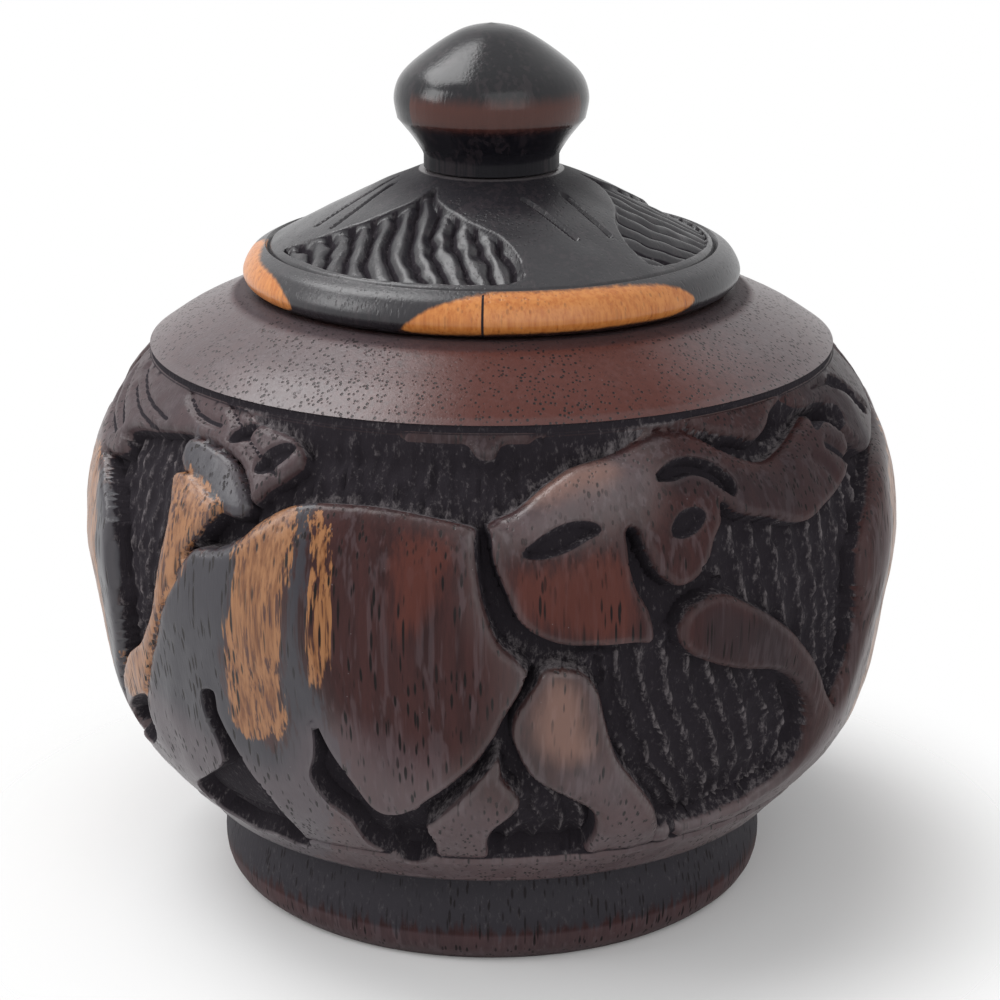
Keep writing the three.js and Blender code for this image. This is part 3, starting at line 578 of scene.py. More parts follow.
class Skin:
    """The surface of a turned piece as arrays that the carver moves, in millimetres and degrees."""

    def __init__(self, piece: Piece, crowding: float = 0.0) -> None:
        """Reads the piece's points.

        Args:
            piece: The turned piece.
            crowding: How far its steps are drawn together at the front, 0 to 1.
        """
        self.piece = piece
        self.mesh = piece.data
        self.points = read(self.mesh.vertices, "co", 3) / MM
        self.radius = np.hypot(self.points[:, 0], self.points[:, 1])
        turn = np.arctan2(self.points[:, 0], -self.points[:, 1])
        self.turn = np.degrees(turn - crowding * np.sin(turn))
        self.height = self.points[:, 2].copy()
        self.marks = {mark: np.full(len(self.points), REST.get(mark, FAR)) for mark in Mark}
        self.place(self.turn, self.radius, self.height, np.arange(len(self.points)))

    def place(self, turn: Array, radius: Array, height: Array, rows: Array) -> None:
        """Puts some of the points at new turns, radii and heights."""
        self.points[rows] = np.column_stack([plan(turn, radius), height])

    def mark(self, mark: Mark, values: Array | float, rows: Array | slice = slice(None)) -> None:
        """Keeps values for the finish to read, at some of the points or at all."""
        self.marks[mark][rows] = values

    def mark_wear(self, rounds: int = 6) -> None:
        """Marks how many millimetres each point stands proud of the surface round it, below 0 in a groove.

        Args:
            rounds: How far round it, in steps of the mesh.
        """
        ends = read(self.mesh.edges, "vertices", 2, int)
        left, right = ends.T
        count = np.bincount(ends.ravel(), minlength=len(self.points))[:, None]
        calm = self.points.copy()
        for _ in range(rounds):
            total = np.column_stack([np.bincount(left, place[right], len(place))
                                     + np.bincount(right, place[left], len(place)) for place in calm.T])
            calm = 0.5 * calm + 0.5 * total / count
        self.write()
        self.mark(Mark.WEAR, ((self.points - calm) * read(self.mesh.vertices, "normal", 3)).sum(1))

    def write(self) -> None:
        """Gives the moved points back to the piece."""
        self.mesh.vertices.foreach_set("co", (self.points * MM).ravel())
        self.mesh.update()

    def finish(self, wood: "CarvedWood", sharp: float) -> Piece:
        """Ends the piece with its marks and its finish.

        Args:
            wood: The finish.
            sharp: The angle in degrees past which an edge isn't shaded smooth.

        Returns:
            The piece.
        """
        self.write()
        for mark, values in self.marks.items():
            layer = self.mesh.attributes.new(mark.value, "FLOAT", "POINT")
            layer.data.foreach_set("value", values.astype(np.float32))
        self.mesh.polygons.foreach_set("use_smooth", np.ones(len(self.mesh.polygons), bool))
        self.mesh.set_sharp_from_angle(angle=math.radians(sharp))
        self.mesh.materials.append(wood.build())
        return self.piece


@dataclass
class CarvedBand:
    """The scene in relief that runs round the belly, once at the front and once at the back.

    It lies between the heights low and high. ground is the depth of the sunk ground, swell and chatter are
    its unevenness, and deepest is the deepest cut. Over top_slope the ground rises by top_rise, and its upper
    end lies top_drop under the turned outline. A point within snap of an edge is drawn onto it, but not past
    seam, where front and back meet. Tool marks run rim past a figure's edge, and dust lies dust_reach round
    its foot. uneven is how much all of it wavers, slowly and quickly. front_ease and half_widths keep it
    inside the box of the solid.
    """

    belly: Points
    low: float = 13.4
    high: float = 73.2
    ground: float = 3.2
    swell: float = 0.16
    chatter: float = 0.24
    deepest: float = 3.95
    top_slope: Pair = (70.4, 72.9)
    top_rise: float = 2.0
    top_drop: float = 0.5
    snap: float = 0.22
    seam: float = 89.6
    rim: float = 0.6
    dust_reach: float = 1.3
    uneven: Pair = (0.07, 0.02)
    front_ease: float = 0.005
    half_widths: Pair = (53.92, 53.99)
    outline: Array = field(init=False)
    along: Array = field(init=False)
    figures: list[tuple[Figure, Array]] = field(init=False)
    hollows: list[tuple[Hollow, Array]] = field(init=False)

    def __post_init__(self) -> None:
        """Works out the belly's outline, the length along it and the flat outlines of the drawing."""
        self.outline = even_steps(smooth_curve(self.belly, 24, power=0.0), 240)
        self.along = lengths(self.outline)
        self.figures = [(figure, self.drawn(figure.outline)) for figure in FIGURES]
        self.figures += [(border, self.flat(border.outline)) for border in BORDERS]
        self.hollows = [(hollow, self.drawn(hollow.outline)) for hollow in HOLLOWS]

    def flat(self, points: Array) -> Array:
        """Turns (degrees, height) into millimetres round and along the belly."""
        points = np.asarray(points, float)
        past = points[:, 1] - np.clip(points[:, 1], self.low, self.high)
        along = np.interp(points[:, 1], self.outline[:, 1], self.along) + past
        return np.column_stack([points[:, 0] * MM_PER_DEGREE, along])

    def drawn(self, points: Points, closed: bool = True) -> Array:
        """Returns a smooth flat line through drawn points."""
        return self.flat(smooth_curve(points, 5, closed))

    def snapped(self, at: Array) -> Array:
        """Draws flat points that lie close to an edge or on its wall onto the wall's rim or foot.

        Args:
            at: Flat points.

        Returns:
            The points, so placed that the walls run clean.
        """
        edges = [(line, -figure.wall) for figure, line in self.figures]
        edges += [(line, hollow.bank) for hollow, line in self.hollows if hollow.bank < 1]
        best = np.full(len(at), np.inf)
        moved = at.copy()
        for line, other in edges:
            distance, nearest, _ = measure(at, line, True, 1.2)
            inward = (at - nearest) / np.where(np.abs(distance) < 1e-6, 1.0, distance)[:, None]
            on_wall = (distance - other) * distance < 0
            for ring in (0.0, other):
                shift = np.abs(distance - ring)
                taken = (shift < best) & ((shift < self.snap) | (on_wall & (shift <= abs(other) / 2)))
                best[taken] = shift[taken]
                moved[taken] = nearest[taken] + inward[taken] * ring
        return moved

    def figure_level(self, figure: Figure, line: Array, at: Array) -> tuple[Array, ...]:
        """Raises a figure.

        Args:
            figure: The figure.
            line: Its outline, flat.
            at: Flat points.

        Returns:
            Its level, far below the ground away from it, how far inside its outline each point lies, and the
            dust that lies in the corner at its foot, from 0 to 1.
        """
        inside, _, up = measure(at, line)
        faces_up = ease(up)
        width = figure.edge + (figure.crown - figure.edge) * faces_up
        fall = figure.fall + (figure.crown_fall - figure.fall) * faces_up
        share = np.clip(inside / width, 0, 1)
        rubbed = -figure.top - fall * (1 - np.sqrt(1 - (1 - share) ** 2))
        cut = -figure.top - fall + inside / figure.wall * self.ground
        level = np.where(inside >= 0, rubbed, np.where(inside <= 0.1 - REACH, BURIED, cut))
        dust = faces_up * np.clip(1 + (inside + figure.wall) / self.dust_reach, 0, 1) * (inside < 0.05)
        return level, inside, dust

    def ground_level(self, at: Array) -> tuple[Array, Array]:
        """Cuts the sunk ground with the strokes of the gouge.

        Args:
            at: Flat points.

        Returns:
            The ground's level and the dust on the crests between the strokes.
        """
        level = -self.ground + self.swell * Waver((4.0, 4.0), 6).at(at)
        chatter = self.chatter * Waver((1.5, 9.0), 5).at(at)
        dust = np.zeros(len(at))
        for fan in FANS:
            within = ease(inside_of(at, self.flat(fan.pocket)) / 0.6)
            guides = (self.drawn(guide, False) for guide in (fan.left, fan.right))
            start, stop = (np.interp(at[:, 1], guide[:, 1], guide[:, 0]) for guide in guides)
            sway = 0.14 * Waver((12.0, 6.0), 11 + fan.strokes).at(at)
            crest = np.abs(np.sin(math.pi * ((at[:, 0] - start) / (stop - start) * fan.strokes + sway)))
            stroke = fan.depth * (0.4 - crest ** 0.6)
            level += within * stroke * (1 + 0.2 * Waver((6.0, 6.0), 21).at(at))
            chatter *= 1 - 0.75 * within
            patchy = 0.55 + 0.45 * Waver((5.0, 7.0), 23).at(at)
            dust = np.maximum(dust, within * patchy * np.clip(1 - crest / 0.5, 0, 1))
        height = np.interp(at[:, 1], self.along, self.outline[:, 1])
        rise = self.top_rise * ease((height - self.top_slope[0]) / np.ptp(self.top_slope))
        return level + chatter + rise, dust

    def relief(self, at: Array) -> tuple[Array, dict[Mark, Array]]:
        """Cuts the figures, the hollows and the gouge's grooves one after the other.

        Args:
            at: Flat points.

        Returns:
            The level of each point, 0 at the turned outline, and what the tools leave there.
        """
        level, dust = self.ground_level(at)
        raw, tooled = np.ones(len(at)), np.zeros(len(at))
        for figure, line in self.figures:
            log.debug("cutting round %s", figure.name)
            raised, inside, corner = self.figure_level(figure, line, at)
            raw = np.minimum(raw, -inside)
            tooled = np.where((inside > -self.rim) & (raised > level), figure.raw, tooled)
            level = np.maximum(level, raised)
            dust = np.maximum(dust, corner * figure.dust)
        for hollow, line in self.hollows:
            log.debug("sinking %s", hollow.name)
            inside = inside_of(at, line)
            level -= hollow.depth * ease(inside / hollow.bank)
            raw = np.maximum(raw, inside)
        for gouge in GOUGES:
            away = away_from(at, self.drawn(gouge.path, False))
            level -= gouge.depth * np.clip(1 - (2 * away / gouge.width) ** 2, 0, 1)
            raw = np.maximum(raw, gouge.width * gouge.raw / 2 - away) if gouge.raw else raw
        slow, quick = self.uneven
        level = np.maximum(level, -self.deepest)
        level += slow * Waver((7.0, 9.0), 3).at(at) + quick * Waver((2.0, 3.0), 4).at(at)
        return np.minimum(level, 0.0), {Mark.RAW: np.clip(raw, -1, 1), Mark.TOOLED_AND_SHADE: tooled, Mark.DUST: dust}

    def carve(self, skin: Skin) -> None:
        """Cuts the scene into the bowl and marks what the tools left.

        Args:
            skin: The bowl's surface.
        """
        wall = np.interp(skin.height, self.outline[:, 1], self.outline[:, 0])
        rows = np.flatnonzero((skin.height > self.low - SLACK) & (skin.height < self.high + SLACK)
                              & (skin.radius > wall - 0.4))
        front = np.abs(skin.turn[rows]) <= 90
        local = np.where(front, skin.turn[rows], (skin.turn[rows] + 360) % 360 - 180)
        at = self.flat(np.column_stack([local, skin.height[rows]]))
        foot, top = skin.height[rows] < self.low + SLACK, skin.height[rows] > self.high - SLACK
        fixed = (np.abs(local) > self.seam) | foot | top
        at = np.where(fixed[:, None], at, self.snapped(at))
        level, marks = self.relief(at)
        level = np.where(foot, 0.0, np.where(top, -self.top_drop, level))
        turn = at[:, 0] / MM_PER_DEGREE
        lean = np.gradient(self.outline, self.along, axis=0)
        radius, height, out_r, out_z = (np.interp(at[:, 1], self.along, column) for column in (
            self.outline[:, 0], self.outline[:, 1], lean[:, 1], -lean[:, 0]))
        held = 1 - self.front_ease * np.cos(np.radians(turn)) ** 2
        whole = np.where(front, turn, turn + 180)
        skin.place(whole, radius * held + out_r * level, height + out_z * level, rows)
        for axis, limit in enumerate(self.half_widths):
            skin.points[:, axis] = np.clip(skin.points[:, axis], -limit, limit)
        for mark, zones in ZONES.items():
            marks[mark] = deepest_inside(at, [self.drawn(zone) for zone in zones])
        for mark, values in marks.items():
            skin.mark(mark, values, rows)


# Finishes


@dataclass(frozen=True)
class Value:
    """A number socket that adds Math nodes when it is used in an expression."""

    graph: "Graph"
    socket: Socket

    def __add__(self, other: "Value | float") -> "Value":
        """Adds."""
        return self.graph.maths("ADD", self, other)

    def __sub__(self, other: "Value | float") -> "Value":
        """Subtracts."""
        return self.graph.maths("SUBTRACT", self, other)

    def __rsub__(self, other: float) -> "Value":
        """Subtracts from a number."""
        return self.graph.maths("SUBTRACT", other, self)

    def __mul__(self, other: "Value | float") -> "Value":
        """Multiplies."""
        return self.graph.maths("MULTIPLY", self, other)

    def __truediv__(self, other: "Value | float") -> "Value":
        """Divides."""
        return self.graph.maths("DIVIDE", self, other)

    __radd__ = __add__
    __rmul__ = __mul__

    def most(self, other: "Value") -> "Value":
        """Takes the larger of two values."""
        return self.graph.maths("MAXIMUM", self, other)

    def clear(self) -> "Value":
        """Holds the value between 0 and 1."""
        return self.graph.maths("ADD", self, 0.0, clamp=True)

    def between(self, low: float, high: float) -> "Value":
        """Steps smoothly from 0 at low to 1 at high."""
        made = self.graph.node("ShaderNodeMapRange", {"interpolation_type": "SMOOTHSTEP"},
                               {"Value": self, "From Min": low, "From Max": high})
        return Value(self.graph, made.outputs["Result"])


class Graph:
    """The node tree of a finish or of the surroundings."""

    def __init__(self, owner: bpy.types.Material | bpy.types.World) -> None:
        """Empties the owner's tree."""
        owner.use_nodes = True
        self.owner = owner
        self.tree = owner.node_tree
        self.tree.nodes.clear()

    def feed(self, socket: Socket, value: object) -> None:
        """Links a value or socket to a socket, or sets it to a plain value."""
        if isinstance(value, Value):
            value = value.socket
        if isinstance(value, Socket):
            self.tree.links.new(value, socket)
        elif isinstance(value, tuple) and socket.type == "RGBA":
            socket.default_value = (*value, 1.0)
        else:
            socket.default_value = value

    def node(self, kind: str, settings: dict | None = None, sockets: dict | None = None) -> bpy.types.Node:
        """Adds a node.

        Args:
            kind: The node's type.
            settings: Its settings, set before its sockets.
            sockets: Values or links of its sockets, by name or number.

        Returns:
            The node.
        """
        made = self.tree.nodes.new(kind)
        for key, value in (settings or {}).items():
            setattr(made, key, value)
        for key, value in (sockets or {}).items():
            self.feed(made.inputs[key], value)
        return made

    def maths(self, operation: str, left: Value | float, right: Value | float, clamp: bool = False) -> Value:
        """Adds a Math node."""
        made = self.node("ShaderNodeMath", {"operation": operation, "use_clamp": clamp}, {0: left, 1: right})
        return Value(self, made.outputs[0])

    def mark(self, mark: Mark) -> Value:
        """Reads what the carving left on the surface."""
        return Value(self, self.node("ShaderNodeAttribute", {"attribute_name": mark.value}).outputs["Fac"])

    def seen(self) -> Value:
        """Returns 1 where the camera looks, straight or by way of a reflection or a clear surface."""
        rays = self.node("ShaderNodeLightPath").outputs
        camera, glossy, clear = (Value(self, rays[f"Is {kind} Ray"])
                                 for kind in ("Camera", "Glossy", "Transmission"))
        return camera.most(glossy).most(clear)

    def place(self, stretch: Place) -> Socket:
        """Returns the place on the piece in millimetres, each way divided by a stretch."""
        here = self.node("ShaderNodeTexCoord").outputs["Object"]
        scale = tuple(1 / MM / way for way in stretch)
        return self.node("ShaderNodeVectorMath", {"operation": "MULTIPLY"}, {0: here, 1: scale}).outputs[0]

    def noise(self, stretch: Place, detail: float = 3.0, rough: float = 0.55) -> Value:
        """Adds a noise whose features have the given lengths in millimetres."""
        made = self.node("ShaderNodeTexNoise", {}, {"Vector": self.place(stretch), "Scale": 1.0,
                                                    "Detail": detail, "Roughness": rough})
        return Value(self, made.outputs["Fac"])

    def flecks(self, across: float, along: float, size: float, share: float) -> Value:
        """Adds scattered flecks that run along the grain, 1 in each fleck.

        Args:
            across: Their distance apart across the grain, in millimetres.
            along: Their distance apart along it.
            size: The largest fleck as a share of those distances.
            share: How many of them there are, 0 to 1.

        Returns:
            The flecks.
        """
        made = self.node("ShaderNodeTexVoronoi", {"feature": "F1"}, {
            "Vector": self.place((across, across, along)), "Scale": 1.0, "Randomness": 1.0})
        kind = self.node("ShaderNodeSeparateColor", {}, {"Color": made.outputs["Color"]})
        there = Value(self, kind.outputs[0]).between(1 - share - 0.01, 1 - share + 0.01)
        reach = (Value(self, kind.outputs[1]) * 0.3 + 0.7) * size * there
        return ((reach - Value(self, made.outputs["Distance"])) / (size * 0.35)).clear()

    def mix(self, share: Value | float, low: Colour | Socket, high: Colour | Socket) -> Socket:
        """Mixes two colours."""
        settings = {"data_type": "RGBA", "clamp_factor": True}
        return self.node("ShaderNodeMix", settings, {0: share, 6: low, 7: high}).outputs[2]

    def bump(self, height: Value, depth: float) -> Socket:
        """Turns a height of 0 to 1 into a normal. depth is what 1 stands for, in millimetres."""
        made = self.node("ShaderNodeBump", {}, {"Strength": 1.0, "Distance": depth * MM, "Height": height})
        return made.outputs["Normal"]

    def shader(self, colour: Socket, rough: Value, normal: Socket, gloss: float) -> Socket:
        """Adds a plain surface with one gloss all over."""
        made = self.node("ShaderNodeBsdfPrincipled", {}, {"Base Color": colour, "Roughness": rough,
                                                          "Normal": normal, "Specular IOR Level": gloss})
        return made.outputs["BSDF"]

    def blend(self, share: Value, low: Socket, high: Socket) -> bpy.types.Material:
        """Ends a finish with a blend of two surfaces and returns its material."""
        both = self.node("ShaderNodeMixShader", {}, {0: share, 1: low, 2: high})
        self.node("ShaderNodeOutputMaterial", {}, {"Surface": both.outputs["Shader"]})
        return self.owner


def srgb(red: int, green: int, blue: int) -> Colour:
    """Turns a colour as seen on a screen, 0 to 255, into the shader's own scale."""
    parts = [part / 255 for part in (red, green, blue)]
    return tuple(p / 12.92 if p <= 0.04045 else ((p + 0.055) / 1.055) ** 2.4 for p in parts)


@dataclass(frozen=True)
class CarvedWood:
    """Dark streaked heartwood with bands of sapwood, waxed where it is smooth and dusty where it is cut raw.

    brown_share and tan_share are how much of the heartwood has each streak, and veined and pored how many
    dark lines and pores show. ragged is how far the grain frays the borders of colours, smooth the roughness
    of the waxed wood, and rubbed how pale its raised edges are, partly from wear and partly as a painted
    highlight.
    """

    name: str
    dark: Colour = srgb(42, 24, 25)
    brown: Colour = srgb(64, 37, 36)
    black: Colour = srgb(54, 52, 58)
    red: Colour = srgb(88, 46, 38)
    # Tan streaks of the grain, and the colour of the painted sheen.
    tan_and_sheen: Colour = srgb(98, 84, 88)
    # Paler wood, also used as a painted highlight.
    pale_and_highlight: Colour = srgb(158, 118, 102)
    sapwood: Colour = srgb(112, 69, 40)
    sapwood_pale: Colour = srgb(152, 106, 70)
    raw: Colour = srgb(37, 33, 38)
    dust: Colour = srgb(112, 106, 108)
    vein: Colour = srgb(18, 11, 12)
    brown_share: float = 0.5
    tan_share: float = 0.3
    ragged: float = 1.0
    veined: float = 1.0
    pored: float = 1.0
    smooth: float = 0.33
    gloss: float = 0.5
    raw_gloss: float = 0.12
    rubbed: float = 0.12

    def build(self) -> bpy.types.Material:
        """Builds the finish.

        Returns:
            The material.
        """
        graph = Graph(bpy.data.materials.new(self.name))
        streak = graph.noise((2.6, 2.6, 40.0), 4.0, 0.6)
        fibre = graph.noise((0.4, 0.4, 7.0), 3.0, 0.6)
        finger = graph.noise((0.75, 0.75, 15.0), 2.0, 0.5)
        cloud = graph.noise((12.0, 12.0, 26.0), 2.0)
        clustered = (cloud * 0.6 + streak * 0.4).between(0.4, 0.52) * 0.85 + 0.15
        pores = graph.flecks(0.55, 8.0, 0.42, 0.75) * (clustered * self.pored)
        specks = graph.flecks(2.0, 2.0, 0.06, 0.5)
        ragged = ((finger - 0.5) * 7.0 + (fibre - 0.5) * 3.5) * self.ragged
        tone = streak * 0.55 + fibre * 0.25 + cloud * 0.4
        heart = graph.mix(tone.between(0.42, 0.78) * (self.brown_share * 2), self.dark, self.brown)
        heart = graph.mix((finger - streak).between(0.02, 0.2) * self.tan_share, heart, self.tan_and_sheen)
        # Colours by zone: red and black heartwood, a painted sheen, paler wood with a painted highlight, and
        # dull patches that also carry painted shade.
        for mark, frayed, low, high, share, colour in (
                (Mark.RED, 0.6, -1.6, 1.8, 0.75, self.red), (Mark.BLACK, 0.8, -0.7, 0.7, 1.0, self.black),
                (Mark.BLOOM, 0.3, -3.0, 2.5, 0.4, self.tan_and_sheen), (Mark.PALE_AND_HIGHLIGHT, 0.2, -1.2, 2.6, 0.42, self.pale_and_highlight),
                (Mark.DULL_AND_SHADE, 0.2, -2.0, 1.5, 0.5, self.raw)):
            heart = graph.mix((graph.mark(mark) + ragged * frayed).between(low, high) * share, heart, colour)
        pale = graph.mix((finger * 0.45 + fibre * 0.55).between(0.36, 0.62), self.sapwood, self.sapwood_pale)
        lines = (0.5 - fibre).between(0.02, 0.1) * (streak - 0.38).between(0.0, 0.16) * self.veined
        pale = graph.mix(lines * 0.9, pale, self.brown)
        wood = graph.mix((graph.mark(Mark.SAPWOOD) + ragged * 0.6).between(-0.25, 0.25), heart, pale)
        wood = graph.mix(pores, wood, self.vein)
        raw = graph.mark(Mark.RAW).between(0.0, 0.16).most(graph.mark(Mark.TOOLED_AND_SHADE))
        wear, dust = graph.mark(Mark.WEAR), graph.mark(Mark.DUST)
        cut = graph.noise((0.8, 0.8, 2.4), 4.0, 0.7)
        grain = graph.noise((0.5, 0.5, 0.9), 3.0, 0.7)
        dusty = (dust * 0.75 + wear * 0.6 + (cut - 0.5) * 1.6 + (grain - 0.5) * 2.2 + 0.04).between(0.1, 1.15)
        ground = graph.mix(dusty * 0.85, self.raw, self.dust)
        # Raised edges paler: partly wear, partly a painted highlight along them.
        rubbed = (wear * 1.8 + (fibre - 0.5) * 0.4).between(0.1, 0.6)
        wood = graph.mix(rubbed * self.rubbed + specks * 0.5, wood, self.dust)
        rough = self.smooth + (fibre - 0.5) * 0.16 + pores * 0.2
        smooth_normal = graph.bump(fibre * 0.3 - pores * 0.7, 0.1)
        raw_normal = graph.bump(cut * raw * 1.5 + fibre * 0.5, 0.12)
        polished = graph.shader(wood, rough, smooth_normal, self.gloss)
        torn = graph.mix(raw, wood, ground)
        torn = graph.shader(torn, (cut - 0.5) * 0.2 + 0.85, raw_normal, self.raw_gloss)
        matt = graph.mark(Mark.MATT).between(-3.0, 3.0)
        return graph.blend(raw.most(matt * 0.8), polished, torn)


# Sub-assemblies


@dataclass
class Bowl:
    """The bowl with its turned foot, carved band and plain shoulder.

    strip is the height of the foot's lower strip, which gets a painted sheen; above it the foot is darkened
    as painted shade under the belly. red_turn is where the shoulder is reddest, and its colours give for each
    mark how far from there it changes, over what turn, and its most; its paler sides are a painted sheen.
    The ring inside seat_radius is darkened as painted shade under the lid's edge.
    """

    foot: Points = ((34.5, 0), (36.18, 1.44), (36.9, 3.36), (36.9, 6.03), (36, 10.05), (35.4, 12.8))
    belly: Points = ((40.2, 13.4), (48.2, 22.2), (51.4, 29.4), (53.2, 40), (54.4, 50), (53, 60), (49.3, 68.2),
                     (45.3, 73.2))
    shoulder: Points = ((44.88, 74.04), (41.1, 76.54), (36.8, 78.63), (32.2, 80.8))
    inside: Points = ((27.9, 73.5), (35.6, 65.2), (46.2, 50), (43.2, 29.4), (28.2, 17.5), (22.2, 14.5))
    mouth: Pair = (26.4, 74.3)
    groove: Pair = (44.6, 73.9)
    strip: float = 4.8
    red_turn: float = 13.0
    # Red and matt at the front, and paler at the sides as a painted sheen.
    colours: tuple[tuple[Mark, float, float, float], ...] = (
        (Mark.RED, 34.0, -9.0, 1.6), (Mark.MATT, 21.0, -4.0, 1.5), (Mark.BLOOM, 30.0, 6.0, 3.0))
    seat_radius: float = 34.0
    finish: CarvedWood = CarvedWood("bowl_wood_finish")

    def mark_foot(self, skin: Skin) -> None:
        """Marks the foot dull, black with painted shade above its strip, and with a painted sheen on the
        strip.
        """
        foot = np.flatnonzero((skin.height < self.belly[0][1]) & (skin.radius > 30.0))
        height = skin.height[foot]
        skin.mark(Mark.BLACK, np.clip(height - self.strip, -3.0, 3.0), foot)
        # Painted sheen on the strip, as if lit.
        skin.mark(Mark.BLOOM, np.where(height < self.strip, 1.0, FAR), foot)
        skin.mark(Mark.MATT, 3.0, foot)
        # Painted shade: raw-cut colour on the foot above its strip, under the belly.
        skin.mark(Mark.TOOLED_AND_SHADE, np.clip((height - 4.4) / 1.6, 0.0, 0.55), foot)

    def mark_shoulder(self, skin: Skin) -> None:
        """Marks the raw groove, the shoulder's colours with painted sheen at the sides, and painted shade
        round the lid.
        """
        radius, top = self.groove
        groove = (skin.height > self.belly[-1][1] - SLACK) & (skin.height < top + 0.05)
        skin.mark(Mark.RAW, 1.0, np.flatnonzero(groove & (np.abs(skin.radius - radius) < 0.1)))
        shoulder = np.flatnonzero((skin.height > top + 0.05) & (skin.radius > self.shoulder[-1][0] - 0.2))
        side = np.abs(skin.turn[shoulder] - self.red_turn)
        for mark, turn, width, most in self.colours:
            skin.mark(mark, np.clip((side - turn) / width, -3.0, most), shoulder)
        # Painted shade: a darker ring round the seat, as under the lid's edge.
        seat = shoulder[skin.radius[shoulder] < self.seat_radius]
        skin.mark(Mark.DULL_AND_SHADE, (self.seat_radius - 0.1 - skin.radius[seat]) * 3.0, seat)
        skin.mark(Mark.MATT, 3.0, seat)

    def build(self) -> Piece:
        """Turns the bowl, carves its band and dresses it.

        Returns:
            The bowl.
        """
        radius, top = self.groove
        edge, rim, floor = self.belly[-1], (self.mouth[0], self.shoulder[-1][1]), self.inside[-1]
        stretches = (
            Stretch(((0, 0), self.foot[0]), 3), Stretch(self.foot, 14, True),
            Stretch((self.foot[-1], self.belly[0]), 3), Stretch(self.belly, 150, True),
            Stretch((edge, (radius, edge[1]), (radius, top), self.shoulder[0]), 1),
            Stretch(self.shoulder, 10, True), Stretch((self.shoulder[-1], rim), 3),
            Stretch((rim, self.mouth, self.inside[0]), 1), Stretch(self.inside, 12, True),
            Stretch((floor, (0, floor[1])), 2))
        skin = Skin(Turning("carved_bowl", stretches, steps=480).make(), crowding=0.34)
        CarvedBand(self.belly).carve(skin)
        skin.mark_wear()
        self.mark_foot(skin)
        self.mark_shoulder(skin)
        return skin.finish(self.finish, sharp=62)


